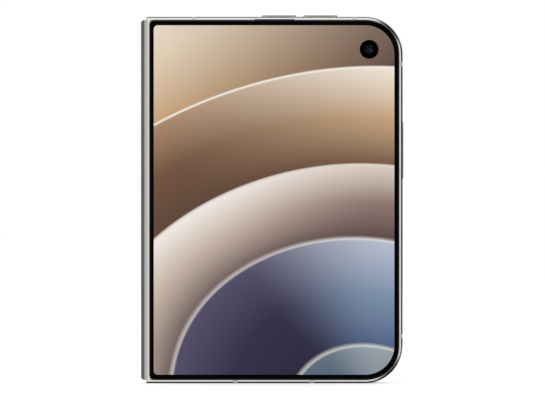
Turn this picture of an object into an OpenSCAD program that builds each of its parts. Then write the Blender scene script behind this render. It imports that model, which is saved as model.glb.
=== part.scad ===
// Foldable smartphone, book style, shown closed and standing on its bottom edge.
// The cover screen faces -Y, the hinge spine is at -X and +Z runs up the height.
//
// Each half is drawn as a leaf lying flat: x runs from the fold line to the free edge,
// y up the height and z outward from the plane where the two halves meet.
// on_front() and on_rear() stand the leaves up back to back.

/* [Leaves] */
// Height of the phone
leaf_height = 120; // [110:0.5:130]
// Width of a leaf, from its seam beside the spine to the free edge
leaf_width = 83.9; // [80:0.1:90]
// Thickness of a leaf
leaf_thickness = 4.8; // [4.7:0.05:5.2]
// Gap between the closed leaves
fold_gap = 0.3; // [0.26:0.02:0.34]
// Radius of the free corners
corner_radius = 12.3; // [9:0.1:14]
// Radius of the corners beside the spine
seam_corner = 0.5; // [0.2:0.1:0.8]
// Width of the metal edge seen round the cover glass
rim_width = 1.1; // [0.95:0.05:1.2]
// Depth of the metal rail behind that edge
rail_depth = 2.05; // [1.9:0.05:2.4]
// Rounding of the outer edge of the rail
rail_round = 0.85; // [0.5:0.05:0.9]
// Rounding of the outer edge beside the spine
seam_round = 0.3; // [0.15:0.05:0.4]
// Rounding of the rail on the fold side
fold_round = 0.35; // [0.2:0.05:0.5]

/* [Screens] */
// Thickness of the cover glass and of the back glass
glass_thickness = 0.55; // [0.45:0.05:0.6]
// Thickness of the adhesive seal below either glass
seal_thickness = 0.1; // [0.06:0.02:0.12]
// Thickness of the cover display panel
panel_thickness = 0.32; // [0.24:0.02:0.34]
// Black border between the rail and the lit area, on the free sides
black_border = 1.45; // [1.2:0.05:2]
// Black border beside the spine
seam_border = 1.3; // [1.25:0.05:2]
// Thickness of the folding display
fold_display_thickness = 0.3; // [0.24:0.02:0.3]
// Thickness of the steel plate below the folding display
support_thickness = 0.2; // [0.16:0.02:0.24]
// Thickness of the middle wall of the frame
midplate_thickness = 0.5; // [0.4:0.05:0.6]

/* [Hinge] */
// Distance of either fold axis from the plane where the leaves meet
pivot_offset = 1.15; // [1.13:0.01:1.17]
// Gap between the open leaves behind the display
open_gap = 0.26; // [0.2:0.02:0.3]
// Wall of the frame over the spine
recess_wall = 0.85; // [0.8:0.01:0.88]
// Gap between the spine and that wall
spine_gap = 0.1; // [0.08:0.01:0.14]
// Wall of the spine cover
cover_wall = 0.45; // [0.4:0.01:0.5]
// Height of the rail left over either end of the spine
end_rail = 0.95; // [0.8:0.05:1.1]
// Distance between neighbouring hinge modules
module_spacing = 40; // [36:1:42]
// Length of a hinge module
module_length = 18; // [16:0.5:20]
// Radial thickness of the curved hinge arms
arm_thickness = 0.38; // [0.34:0.02:0.4]
// Distance from the fold line to the wing pivot
wing_pivot_x = 5.25; // [5.2:0.05:5.5]
// Outward tilt of the wing plates when the phone is closed
wing_tilt = 18; // [16:0.5:18.5]

/* [Buttons and openings] */
// Length of either volume button
volume_length = 11.1; // [9:0.1:12]
// Gap between the volume buttons
volume_spacing = 2.5; // [2:0.1:4]
// Distance from the free edge to the gap between the volume buttons
volume_from_edge = 33.68; // [30:0.1:38]
// Length of the power button
power_length = 18.7; // [14:0.1:20]
// Distance from the top edge to the centre of the power button
power_below_top = 43.7; // [38:0.1:48]
// Thickness of the buttons
button_thickness = 2; // [1.6:0.1:2.2]
// How far the volume buttons stand proud
volume_proud = 0.65; // [0.45:0.05:0.8]
// How far the power button stands proud
power_proud = 0.36; // [0.35:0.01:0.6]
// Travel of the buttons
button_travel = 0.25; // [0.2:0.01:0.3]
// Width of the mouth of the charging port
port_width = 8.34; // [8.34:0.01:8.4]
// Height of the mouth of the charging port
port_height = 2.56; // [2.5:0.01:2.56]
// Width of the antenna breaks in the rails
break_width = 1.3; // [0.8:0.1:1.8]

/* [Cameras] */
// Distance of the cover camera from the free edge
cover_camera_edge = 10.95; // [9.5:0.05:13]
// Distance of the cover camera from the top edge
cover_camera_top = 10.7; // [9.5:0.05:13]
// Diameter of the hole that the cover camera looks through
cover_camera_hole = 6; // [4.5:0.1:6.4]
// Width of the rear camera bump
bump_width = 46; // [42:0.5:48]
// Height of the rear camera bump
bump_height = 19; // [18:0.5:20]
// How far the rear camera bump stands proud
bump_proud = 2.2; // [1.6:0.1:2.6]
// Distance from the free edge to the bump
bump_edge = 7; // [6:0.5:9]
// Distance from the top edge to the bump
bump_top = 7; // [6:0.5:9]
// Diameter of the large camera rings
camera_ring = 14.4; // [12:0.1:15]

/* [Hidden] */
$fn = 48;

// Clearances
fit = 0.05;          // between pieces that are bonded or dropped into a pocket
slide = 0.08;        // round pieces that slide
eps = 0.01;          // overshoot of cutting tools

// Levels of a leaf, outward from the fold plane
fold_face = fold_gap / 2;
outer_face = fold_face + leaf_thickness;
display_face = fold_face + 0.1;
support_face = display_face + fold_display_thickness;
floor_face = support_face + support_thickness;
cavity_floor = floor_face + midplate_thickness;
glass_seat = outer_face - glass_thickness;
ledge = glass_seat - seal_thickness;
panel_seat = glass_seat - panel_thickness;
cavity_top = panel_seat - 0.02;
middle_level = (fold_face + outer_face) / 2;

// Plan of a leaf
seam = -(pivot_offset - open_gap / 2);
free_edge = seam + leaf_width;
glass_left = -0.02;
display_left = glass_left + seam_border + 0.05;
display_inset = rim_width + black_border;
fold_display_inset = 1.2;

// Hinge section
recess_radius = outer_face - recess_wall - pivot_offset;
spine_radius = recess_radius - spine_gap;
cover_inner = spine_radius - cover_wall;
arm_outer = cover_inner - 0.07;
arm_inner = arm_outer - arm_thickness;
core_radius = arm_inner - 0.05;
core_face = -0.15;
cover_edge = -0.3;
notch_edge = -1;
spine_start = end_rail + spine_gap;
spine_end = leaf_height - spine_start;
spine_corner = 1.2;
middle_y = leaf_height / 2;
module_centres = [for (i = [-1:1]) middle_y + i * module_spacing];
foot_top = pivot_offset + 0.94;
foot_thickness = 0.2;
foot_left = 2.3;
wall_left = wing_pivot_x - 0.25;
wall_right = wing_pivot_x + 0.55;
wall_relief = wing_pivot_x + 0.32;
arm_start = 32;
arm_end = 115;

// Wing plates
wing_level = pivot_offset - 0.35;
wing_plate_top = support_face + 0.27;
wing_plate_bottom = support_face + 0.02;
wing_tip = 0.35;
wing_knuckle = 0.19;
wing_pin = 0.12;
wing_start = rail_depth + 0.15;

// Loop of the folding display: the sheet turns a quarter round each fold axis on its way
// from the leaf to the middle of the spine, by a share that rises smoothly along the loop
loop_start = wing_pivot_x - 0.25;
loop_end = 0.9;
loop_slope = 55;
loop_steps = 14;
centre_plate_half = 1.3;
centre_plate_face = loop_end - fold_display_thickness - 0.07;
centre_plate_thickness = 0.25;

// Gears that keep both halves in step
sector_teeth = 32;
pinion_teeth = 8;
sector_radius = arm_outer - 0.33;
gear_module = 2 * sector_radius / sector_teeth;
pinion_radius = gear_module * pinion_teeth / 2;
outer_gear_angle = 170;
outer_gear_reach = sector_radius - pinion_radius;
outer_gear_x = outer_gear_reach * cos(outer_gear_angle);
outer_gear_z = pivot_offset + outer_gear_reach * sin(outer_gear_angle);
idler_z = pinion_radius;
idler_x = outer_gear_x + sqrt(pow(2 * pinion_radius, 2) - pow(outer_gear_z - idler_z, 2));
gear_bore = 0.15;
gear_shaft = 0.13;
chamber_half = 2.2;
cheek = 0.5;
mesh_half = 0.7;
sector_first = 74;
sector_last = 176;

// Place of the origin: under the middle of the closed phone
bump_face = outer_face + bump_proud;
origin_x = (free_edge + power_proud - spine_radius) / 2;
origin_y = (bump_face - outer_face) / 2;

// ---------- placing ----------

module on_front() translate([-origin_x, -origin_y, 0]) rotate([90, 0, 0]) children();

module on_rear() translate([-origin_x, -origin_y, 0]) mirror([0, 1, 0]) rotate([90, 0, 0]) children();

// Stands a section drawn in x and z along the height, from y0 to y1
module along_height(y0, y1) translate([0, y1, 0]) rotate([90, 0, 0]) linear_extrude(y1 - y0) children();

// ---------- outlines ----------

function arc(cx, cy, r, a0, a1, n = 12) =
  [for (i = [0:n]) [cx + r * cos(a0 + (a1 - a0) * i / n), cy + r * sin(a0 + (a1 - a0) * i / n)]];

// Steps in a quarter arc: more on a larger corner
function steps(r) = max(5, ceil(1.8 * r));

// A rectangle with one corner radius on its left and another on its right
function plan(left, right, bottom, top, left_r, right_r) = concat(
  arc(right - right_r, bottom + right_r, right_r, -90, 0, steps(right_r)),
  arc(right - right_r, top - right_r, right_r, 0, 90, steps(right_r)),
  arc(left + left_r, top - left_r, left_r, 90, 180, steps(left_r)),
  arc(left + left_r, bottom + left_r, left_r, 180, 270, steps(left_r)));

// The plan of a leaf, set in from its free sides and cut straight at x = left
function leaf_plan(inset, left, left_r = 0.4) =
  plan(left, free_edge - inset, inset, leaf_height - inset, left_r, corner_radius - inset);

function slot_outline(length, width, n = 10) = concat(
  arc((length - width) / 2, 0, width / 2, -90, 90, n),
  arc(-(length - width) / 2, 0, width / 2, 90, 270, n));

// Sweeps a profile round a rectangle with rounded corners. The profile lies in x and z,
// with the outline at x = 0 and the inside at negative x.
module sweep_round(left, right, bottom, top, left_r, right_r, open_left = false) {
  turn_left = open_left ? 0 : left_r;
  right_run = top - bottom - 2 * right_r;
  left_run = top - bottom - 2 * left_r;
  if (right_run > eps)
    translate([right, top - right_r, 0]) rotate([90, 0, 0]) linear_extrude(right_run) children();
  for (side = [0, 1])
    translate([0, side ? top : bottom, 0]) mirror([0, side ? 0 : 1, 0]) {
      translate([left + turn_left, 0, 0]) rotate([90, 0, 90])
        linear_extrude(right - right_r - left - turn_left) children();
      translate([right - right_r, -right_r, 0]) rotate_extrude(angle = 90)
        translate([right_r, 0]) children();
      if (!open_left)
        translate([left + left_r, -left_r, 0]) rotate([0, 0, 90]) rotate_extrude(angle = 90)
          translate([left_r, 0]) children();
    }
  if (!open_left && left_run > eps)
    translate([left, bottom + left_r, 0]) rotate([90, 0, 180]) linear_extrude(left_run) children();
}

// ---------- frame of a leaf ----------

// Section of the rail: x = 0 is the outside, z runs outward from the fold plane
module rail_section(depth = rail_depth) {
  polygon(concat(
    arc(-fold_round, fold_face + fold_round, fold_round, -90, 0, 4),
    arc(-rail_round, outer_face - rail_round, rail_round, 0, 90, 8),
    [[-rim_width, outer_face], [-rim_width, ledge], [-depth, ledge], [-depth, floor_face],
     [-end_rail, floor_face], [-end_rail, fold_face]]));
}

module rails() sweep_round(seam, free_edge, 0, leaf_height, 0, corner_radius, true) rail_section();

// The wall over the spine and the bulkhead that carries the hinge arms
module seam_wall() {
  translate([seam, rim_width - 0.1, floor_face])
    cube([wall_right - seam, leaf_height - 2 * rim_width + 0.2, outer_face - floor_face]);
  for (side = [0, 1])
    translate([wall_left - 0.15, side ? leaf_height - rail_depth : end_rail, support_face + fit])
      cube([wall_relief - wall_left + 0.15, rail_depth - end_rail, floor_face - support_face]);
}

// Everything that is cut away for the spine, the hinge arms and the wings
module hinge_recess() {
  along_height(end_rail, leaf_height - end_rail) {
    translate([0, pivot_offset]) circle(recess_radius, $fn = 96);
    translate([seam - 1, 0]) square([1 - seam, pivot_offset + recess_radius]);
    translate([-5, -5]) square([5 + wall_left, 5 + foot_top]);
  }
  along_height(wing_start - fit, leaf_height - wing_start + fit)
    translate([wall_left - eps, -1]) square([wall_relief - wall_left + eps, 1 + wing_level + wing_knuckle + fit]);
  along_height(end_rail + 0.3, leaf_height - end_rail - 0.3)
    translate([wing_pivot_x, wing_level]) circle(wing_pin + 0.03, $fn = 24);
  // the rounded heel that lets the end rails turn past each other
  for (y = [-1, leaf_height - end_rail - eps])
    along_height(y, y + 1 + end_rail + eps)
      difference() {
        translate([seam - 1, -1]) square([1 - seam, 1 + pivot_offset]);
        translate([0, pivot_offset]) circle(-seam, $fn = 64);
      }
}

// The pockets for the glass and for the panel below it
module outer_pocket() {
  translate([0, 0, ledge])
    linear_extrude(outer_face)
      polygon(plan(glass_left, wall_right + 1, rim_width, leaf_height - rim_width, 1.6, 0.01));
  translate([0, 0, cavity_top])
    linear_extrude(outer_face)
      polygon(plan(display_left - 0.05, wall_right + 1, rail_depth, leaf_height - rail_depth, 0.8, 0.01));
}

module seam_corner_waste() {
  along_height(-1, leaf_height + 1)
    polygon(concat([[seam - 1, outer_face + 1], [seam - 1, outer_face - seam_round]],
      arc(seam + seam_round, outer_face - seam_round, seam_round, 180, 90, 5), [[seam + seam_round, outer_face + 1]]));
  for (side = [0, 1])
    translate([seam, side ? leaf_height : 0, -1]) mirror([0, side, 0])
      linear_extrude(outer_face + 2)
        polygon(concat([[-1, -1], [seam_corner, -1]], arc(seam_corner, seam_corner, seam_corner, 270, 180, 6), [[-1, seam_corner]]));
}

module screw_bores(level, depth, radius) {
  for (y = foot_screw_y())
    translate([4.2, y, level]) cylinder(h = depth, r = radius, $fn = 24);
}

function foot_screw_y() = [for (c = module_centres) for (s = [-1, 1]) c + s * (module_length / 2 - 2)];

module chassis() {
  difference() {
    union() {
      rails();
      seam_wall();
      translate([0, 0, floor_face]) linear_extrude(midplate_thickness)
        polygon(leaf_plan(rail_depth - 0.3, wall_right - 0.2));
    }
    hinge_recess();
    outer_pocket();
    seam_corner_waste();
    screw_bores(foot_top - eps, 1.3, 0.32);
  }
}

// A pocket through the rail for one break: places along the run of each free side
top_breaks = [seam + 15.6, free_edge - 15.7];
bottom_breaks = [seam + 29.1, free_edge - 29.7];
side_breaks = [15.5, leaf_height - 15.5];
break_depth = 1.6;

module break_places() {
  for (x = top_breaks)
    translate([x - break_width / 2, leaf_height, 0]) rotate([90, 0, 90]) children();
  for (x = bottom_breaks)
    translate([x - break_width / 2, 0, 0]) mirror([0, 1, 0]) rotate([90, 0, 90]) children();
  for (y = side_breaks)
    translate([free_edge, y + break_width / 2, 0]) rotate([90, 0, 0]) children();
}

module break_cuts() break_places() linear_extrude(break_width)
  translate([-break_depth, -1]) square([break_depth + 1, outer_face + 2]);

module antenna_breaks() break_places() linear_extrude(break_width) rail_section(break_depth);

// ---------- glass, display and seal ----------

glass_edge = 0.28;

module glass_edge_section() {
  polygon(concat([[-1.2, 0], [0, 0]],
    arc(-glass_edge, glass_thickness - glass_edge * 0.8, glass_edge, 0, 53, 4),
    [[-1.2, glass_thickness]]));
}

module glass_sheet() {
  translate([0, 0, glass_seat]) {
    sweep_round(glass_left + fit, free_edge - rim_width - fit, rim_width + fit,
      leaf_height - rim_width - fit, 1.55, corner_radius - rim_width - fit) glass_edge_section();
    linear_extrude(glass_thickness)
      polygon(plan(glass_left + fit + 1, free_edge - rim_width - fit - 1, rim_width + fit + 1,
        leaf_height - rim_width - fit - 1, 0.5, corner_radius - rim_width - fit - 1));
  }
}

module glass_seal() {
  translate([0, 0, ledge]) linear_extrude(seal_thickness)
    difference() {
      polygon(leaf_plan(rim_width + 0.1, glass_left + 0.1, 1.5));
      polygon(leaf_plan(rail_depth, display_left - 0.1, 1));
    }
}

module support_plate() {
  translate([0, 0, support_face]) linear_extrude(support_thickness)
    polygon(leaf_plan(fold_display_inset + 0.1, wall_relief + 0.1));
}

module inner_display_flat() {
  translate([0, 0, display_face]) linear_extrude(fold_display_thickness)
    polygon(leaf_plan(fold_display_inset, loop_start, 0.01));
}

module inner_bezel() {
  translate([0, 0, fold_face + 0.01]) linear_extrude(display_face - fold_face - 0.01)
    difference() {
      polygon(leaf_plan(end_rail + fit, loop_start + 0.6, 0.3));
      polygon(leaf_plan(2.3, loop_start - 1, 0.3));
    }
}

// ---------- hinge arms ----------

function fold_arc(r, a0, a1, step = 4) =
  [for (i = [0:ceil(abs(a1 - a0) / step)])
    let(a = a0 + (a1 - a0) * i / ceil(abs(a1 - a0) / step)) [r * cos(a), pivot_offset + r * sin(a)]];

// A curved arm and the foot that joins it to the bulkhead
module arm_section(last) {
  polygon(concat(
    fold_arc(arm_outer, 24, last), fold_arc(arm_inner, last, arm_start),
    [[foot_left, foot_top - foot_thickness], [wall_left - fit, foot_top - foot_thickness],
     [wall_left - fit, foot_top], [foot_left, foot_top]]));
}

// Teeth on the inside of the curved arm: a tooth space lies on the line to the outer gear
module sector_teeth_section(shift) {
  pitch = 360 / sector_teeth;
  tip = sector_radius - 0.8 * gear_module;
  first = floor((sector_first - outer_gear_angle) / pitch);
  for (i = [first:0]) {
    a = outer_gear_angle + (i + 0.5 + shift) * pitch;
    if (a < sector_last - 1)
      polygon([for (p = [[arm_outer - 0.1, 3.7], [sector_radius + 1.05 * gear_module, 3.6], [sector_radius, 2.45], [tip, 1.1],
                         [tip, -1.1], [sector_radius, -2.45], [sector_radius + 1.05 * gear_module, -3.6], [arm_outer - 0.1, -3.7]])
        [p[0] * cos(a + p[1]), pivot_offset + p[0] * sin(a + p[1])]]);
  }
}

module sector_section(shift) {
  polygon(concat(
    fold_arc(arm_outer, 24, sector_last), fold_arc(sector_radius + gear_module, sector_last, 66),
    fold_arc(arm_inner, 62, arm_start),
    [[foot_left, foot_top - foot_thickness], [foot_left, foot_top]]));
  sector_teeth_section(shift);
}

// side is -1 on the front leaf and 1 on the rear leaf: their toothed arms lie side by side
module hinge_arms(side) {
  difference() {
    union() {
      for (c = module_centres) {
        if (c == middle_y) {
          for (s = [-1, 1])
            along_height(c + (s > 0 ? chamber_half + cheek + slide : -module_length / 2 + cheek + slide),
              c + (s > 0 ? module_length / 2 - cheek - slide : -chamber_half - cheek - slide)) arm_section(arm_end);
          along_height(c + side * (mesh_half + chamber_half) / 2 - 0.6,
            c + side * (mesh_half + chamber_half) / 2 + 0.6) sector_section(side < 0 ? 0 : 0.5);
          translate([foot_left, c - chamber_half - 1, foot_top - foot_thickness])
            cube([wall_left - fit - foot_left, 2 * chamber_half + 2, foot_thickness]);
        } else {
          along_height(c - module_length / 2 + cheek + slide, c + module_length / 2 - cheek - slide) arm_section(arm_end);
        }
      }
    }
    screw_bores(0, 3, 0.32);
  }
}

module arm_screws() {
  for (y = foot_screw_y())
    translate([4.2, y, foot_top - foot_thickness]) {
      translate([0, 0, -0.22]) cylinder(h = 0.22, r = 0.6, $fn = 24);
      translate([0, 0, -0.05]) cylinder(h = foot_thickness + 1.1, r = 0.3, $fn = 24);
    }
}

// ---------- spine ----------

function spine_outline(r, edge, n = 20) =
  let(a = acos(edge / r)) concat(
    [for (i = [0:n]) [r * cos(a + (180 - a) * i / n), pivot_offset + r * sin(a + (180 - a) * i / n)]],
    [for (i = [0:n]) [r * cos(180 + (180 - a) * i / n), -pivot_offset + r * sin(180 + (180 - a) * i / n)]]);

// The core between the curved arms: round one fold axis and then the other, with a waist
// at the middle where the open arms reach past each other
function core_outline(r, edge, n = 20) =
  let(a = acos(edge / r), waist = 180 + asin(pivot_offset / r), half = [for (i = [0:n])
    let(b = a + (waist - a) * i / n) [r * cos(b), pivot_offset + r * sin(b)]])
  concat(half, [for (i = [n - 1:-1:0]) [half[i][0], -half[i][1]]]);

module hinge_cover_body() {
  difference() {
    along_height(spine_start, spine_end) polygon(spine_outline(spine_radius, cover_edge));
    along_height(spine_start + 0.8, spine_end - 0.8) polygon(spine_outline(cover_inner, 0.5));
    for (c = module_centres)
      along_height(c - module_length / 2, c + module_length / 2)
        for (s = [-1, 1])
          translate([notch_edge, s > 0 ? pivot_offset : -pivot_offset - 5]) square([2, 5]);
    for (side = [0, 1])
      translate([-spine_radius, side ? spine_end : spine_start, -6]) mirror([0, side, 0])
        linear_extrude(12)
          polygon(concat([[-1, -1], [spine_corner, -1]],
            arc(spine_corner, spine_corner, spine_corner, 270, 180, 8), [[-1, spine_corner]]));
    block_screw_holes(-cover_inner - 0.22, 0.5, 0.32);
  }
}

// Bearing blocks: a core that the curved arms run round, between cheeks that fill the cover,
// with a foot at either end that is screwed to the cover
module hinge_block_set() {
  difference() {
    union() {
      for (c = module_centres) {
        along_height(c - module_length / 2, c + module_length / 2)
          polygon(core_outline(core_radius, core_face));
        for (s = [-1, 1]) {
          along_height(c + s * module_length / 2 - (s > 0 ? cheek : 0), c + s * module_length / 2 + (s > 0 ? 0 : cheek))
            polygon(spine_outline(cover_inner - 0.02, cover_edge));
          translate([block_foot_x, c + s * (module_length / 2 + foot_reach / 2 - 0.1) - foot_reach / 2, -pivot_offset])
            cube([foot_reach / 6, foot_reach, 2 * pivot_offset]);
        }
      }
      for (s = [-1, 1])
        along_height(middle_y + s * (chamber_half + cheek / 2) - cheek / 2, middle_y + s * (chamber_half + cheek / 2) + cheek / 2)
          polygon(spine_outline(cover_inner - 0.02, cover_edge));
    }
    along_height(middle_y - chamber_half, middle_y + chamber_half) translate([-4, -5]) square([5, 10]);
    shafts(0.01);
    block_screw_holes(block_foot_x - eps, 1, 0.42);
  }
}

block_foot_x = -cover_inner + 0.02;
foot_reach = 3;

module block_screw_holes(x, depth, radius) {
  for (c = module_centres) for (s = [-1, 1])
    translate([x, c + s * (module_length / 2 + foot_reach / 2), 0]) rotate([0, 90, 0])
      cylinder(h = depth, r = radius, $fn = 24);
}

// The outer gears turn on pins from cheek to cheek; each idler's pin stops short of the
// toothed arm of the other leaf, which sweeps past its end
module shafts(extra) {
  for (side = [-1, 1]) {
    translate([outer_gear_x, middle_y + chamber_half + 0.4, -side * outer_gear_z]) rotate([90, 0, 0])
      cylinder(h = 2 * chamber_half + 0.8, r = gear_shaft + extra, $fn = 24);
    translate([idler_x, middle_y + (side < 0 ? mesh_half - 0.1 : chamber_half + 0.4), -side * idler_z]) rotate([90, 0, 0])
      cylinder(h = chamber_half + mesh_half + 0.3, r = gear_shaft + extra, $fn = 24);
  }
}

// ---------- gears ----------

module pinion_section(turn) {
  pitch = 360 / pinion_teeth;
  root = pinion_radius - 1.05 * gear_module;
  tip = pinion_radius + 0.8 * gear_module;
  rotate(turn)
    difference() {
      polygon([for (i = [0:pinion_teeth - 1]) for (p = [[root, -15.5], [pinion_radius, -9.6], [tip, -4],
                                                         [tip, 4], [pinion_radius, 9.6], [root, 15.5]])
        [p[0] * cos(i * pitch + p[1]), p[0] * sin(i * pitch + p[1])]]);
      circle(gear_bore, $fn = 24);
    }
}

// Direction from an outer gear to its idler, which times their teeth. The rear gears are
// turned by half a tooth, because the two idlers mesh with each other.
mesh_angle = atan2(idler_z - outer_gear_z, idler_x - outer_gear_x);
half_tooth = 180 / pinion_teeth;
outer_turn = outer_gear_angle;
idler_turn = 2 * mesh_angle + 180 - outer_gear_angle + half_tooth;

module front_gear(place, turn, y0, y1) on_front()
  along_height(middle_y + y0, middle_y + y1) translate(place) pinion_section(turn);

module rear_gear(place, turn, y0, y1) on_front()
  along_height(middle_y + y0, middle_y + y1) mirror([0, 1]) translate(place) pinion_section(turn + half_tooth);

// ---------- folding display ----------

function share(t) = t * t * (3 - 2 * t);

// A point of the closed loop, for a layer of the sheet that lies `depth` inside the fold axis
function loop_point(t, depth) =
  let(turn = 90 * share(t), c = cos(turn), s = sin(turn), cu = -cos(loop_slope), su = -sin(loop_slope),
    run = (loop_end - loop_start) * cu - display_face * su,
    offset = -loop_start * cu + (pivot_offset - display_face) * su,
    along = (t * run - offset - depth * (s * cu - c * su)) / (c * cu + s * su))
  [along * c + depth * s, pivot_offset + along * s - depth * c];

function loop_layer(depth) = [for (i = [0:loop_steps]) loop_point(i / loop_steps, depth)];

function backwards(points) = [for (i = [len(points) - 1:-1:0]) points[i]];

function mirrored(points) = [for (p = points) [p[0], -p[1]]];

module loop_section() {
  front_face = loop_layer(pivot_offset - display_face);
  front_back = loop_layer(pivot_offset - support_face);
  polygon(concat([[loop_start, support_face]], front_face, backwards(mirrored(front_face)),
    [[loop_start, -support_face]], mirrored(front_back), backwards(front_back)));
}

// ---------- wings ----------

// Drawn folded out, level with the open display, then tilted to its closed place
module wing(side) {
  along_height(wing_start, leaf_height - wing_start)
    translate([wing_pivot_x, wing_level]) rotate(-wing_tilt) translate([-wing_pivot_x, -wing_level])
      union() {
        translate([wing_tip, wing_plate_bottom])
          square([wing_pivot_x - wing_tip, wing_plate_top - wing_plate_bottom]);
        translate([wing_pivot_x, wing_level]) circle(wing_knuckle, $fn = 24);
      }
  along_height(end_rail + 0.5, leaf_height - end_rail - 0.5)
    translate([wing_pivot_x, wing_level]) circle(wing_pin, $fn = 24);
}

// ---------- buttons ----------

power_centre = leaf_height - power_below_top;
volume_centre = free_edge - volume_from_edge;
up_centre = volume_centre + (volume_spacing + volume_length) / 2;
down_centre = volume_centre - (volume_spacing + volume_length) / 2;
button_depth = 1.55;
flange_depth = 0.45;
flange_lip = 0.4;

// A button lying along x, pressed towards -y, with its outer face at y = proud
module button(length, proud) {
  translate([0, proud, middle_level]) rotate([90, 0, 0])
    linear_extrude(proud + button_depth) polygon(slot_outline(length, button_thickness));
  translate([0, -button_depth, middle_level]) rotate([90, 0, 0])
    linear_extrude(flange_depth) polygon(slot_outline(length + 2 * flange_lip, button_thickness + 2 * flange_lip));
}

// The slot for it, with the wider pocket where the flange travels
module button_slot(length) {
  translate([0, 2, middle_level]) rotate([90, 0, 0])
    linear_extrude(2 + rail_depth + 1) polygon(slot_outline(length + 2 * slide, button_thickness + 2 * slide));
  translate([0, -button_depth, middle_level]) rotate([90, 0, 0])
    linear_extrude(3) polygon(slot_outline(length + 2 * flange_lip + 2 * slide, button_thickness + 2 * flange_lip + 2 * slide));
}

module at_volume(x) translate([x, leaf_height, 0]) children();

module at_power() translate([free_edge, power_centre, 0]) rotate([0, 0, -90]) children();

// A dome switch on its bracket behind a button
module switch_behind(length) {
  gap = button_depth + flange_depth + button_travel + 0.1;
  translate([0, -gap - 0.35, middle_level]) rotate([90, 0, 0])
    linear_extrude(0.5) polygon(slot_outline(length + 3, 2.2));
  translate([0, -gap, middle_level]) rotate([90, 0, 0]) cylinder(h = 0.4, r = 0.9, $fn = 24);
}

// ---------- tray ----------

tray_centre = 34;
tray_face_length = 14.5;
tray_face_thickness = 1.5;
tray_length = 14;
tray_width = 11.6;
tray_level = 2.45;
eject_depth = 1.2;
eject_radius = 0.42;

module tray_face(extra, depth) {
  translate([free_edge + (extra > 0 ? 1 : 0), tray_centre, tray_level]) rotate([90, 0, -90])
    linear_extrude(depth + (extra > 0 ? 1 : 0)) polygon(slot_outline(tray_face_length + 2 * extra, tray_face_thickness + 2 * extra));
}

// ---------- bottom edge ----------

port_x = (seam + free_edge) / 2;
port_wall = 0.12;
port_level = cavity_floor + port_wall + port_height / 2;
port_depth = 7;
port_inset = 0.3;
speaker_holes = 6;
speaker_pitch = 2.1;
speaker_x = free_edge - 22.9;
mic_x = seam + 25;
vent_radius = 0.55;

module port_outline(extra) polygon(slot_outline(port_width + 2 * extra, port_height + 2 * extra));

module rear_bottom_cuts() {
  translate([port_x, rail_depth + 1, port_level]) rotate([90, 0, 0])
    linear_extrude(rail_depth + 3) port_outline(port_wall + 0.01);
  for (i = [0:speaker_holes - 1])
    translate([speaker_x + (i - (speaker_holes - 1) / 2) * speaker_pitch, rail_depth + 1, middle_level]) rotate([90, 0, 0])
      cylinder(h = rail_depth + 3, r = vent_radius, $fn = 24);
  translate([mic_x, rail_depth + 1, middle_level]) rotate([90, 0, 0])
    cylinder(h = rail_depth + 3, r = vent_radius, $fn = 24);
}

// ---------- places inside the leaves ----------

cell_left = wall_right + 4;
cell_top = cavity_top - 0.18;
edge_room = 0.3;
board_thickness = 0.7;
block_height = 0.9;
earpiece_x = (seam + free_edge) / 2;
earpiece_length = 13.1;
earpiece_height = 5.9;
camera_x = free_edge - cover_camera_edge;
camera_y = leaf_height - cover_camera_top;
camera_body = 3.6;
front_board_top = leaf_height - rail_depth - earpiece_height - 2;
front_board_height = 15;
front_cell_low = 18;
front_cell_top = front_board_top - front_board_height - 3;
bump_right = free_edge - bump_edge;
bump_left = bump_right - bump_width;
bump_up = leaf_height - bump_top;
bump_low = bump_up - bump_height;
bump_x = (bump_left + bump_right) / 2;
bump_y = (bump_up + bump_low) / 2;
bump_corner = bump_height / 2;
ring_proud = 0.4;
island_face = bump_face - ring_proud;
island_wall = 2;
island_roof = 0.8;
lens_reach = bump_width / 2 - bump_height / 2;
lens_x = [bump_x - lens_reach, bump_x + lens_reach];
ring_radius = camera_ring / 2;
ring_band = 1;
ring_chamfer = 0.12;
camera_half = 5.9;
small_window = 2.05;
small_offset = 3.6;
inner_camera_x = seam + 25;
inner_camera_y = leaf_height - 5.6;
inner_camera_radius = 1.6;
board_strip_low = bump_low - 5;
board_strip_top = bump_low - 2;
rear_cell_right = free_edge - 18;
rear_cell_low = 26;
rear_cell_top = board_strip_low - 3;
tab_left = free_edge - 14;
tab_right = free_edge - 6;
tab_low = power_centre - 10.3;
magnet_spacing = 2.5;
magnet_low = tray_centre + tray_width / 2 + 3.2;
magnet_top = power_centre - (power_length - 1) / 2 - 3.95;
magnet_length = (magnet_top - magnet_low - magnet_spacing) / 2;
magnet_y = [magnet_low, magnet_low + magnet_length + magnet_spacing];
magnet_width = 2.3;
coil_outer = 22;
coil_inner = 10;
coil_thickness = 0.25;
speaker_half = 9;
speaker_mesh_half = 7;
speaker_mesh_thickness = 0.25;
speaker_height = 16.6;

module box(x0, x1, y0, y1, z0, z1) translate([x0, y0, z0]) cube([x1 - x0, y1 - y0, z1 - z0]);

// ---------- pieces of the front leaf ----------

module front_frame() color("silver") on_front() difference() {
  chassis();
  break_cuts();
  box(earpiece_x - earpiece_length / 2, earpiece_x + earpiece_length / 2,
    leaf_height - rim_width - 0.1, leaf_height - rim_width + 0.3, ledge + fit, outer_face + 1);
}

module front_antenna_breaks() color("darkgray") on_front() antenna_breaks();

module cover_glass() color("black") on_front() glass_sheet();

module cover_display_panel() color("slategray") on_front() difference() {
  translate([0, 0, panel_seat]) linear_extrude(panel_thickness)
    polygon(leaf_plan(rail_depth + fit, display_left, 0.8));
  translate([camera_x, camera_y, 0]) cylinder(h = 9, r = cover_camera_hole / 2);
}

module cover_seal() color("dimgray") on_front() glass_seal();

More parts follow.
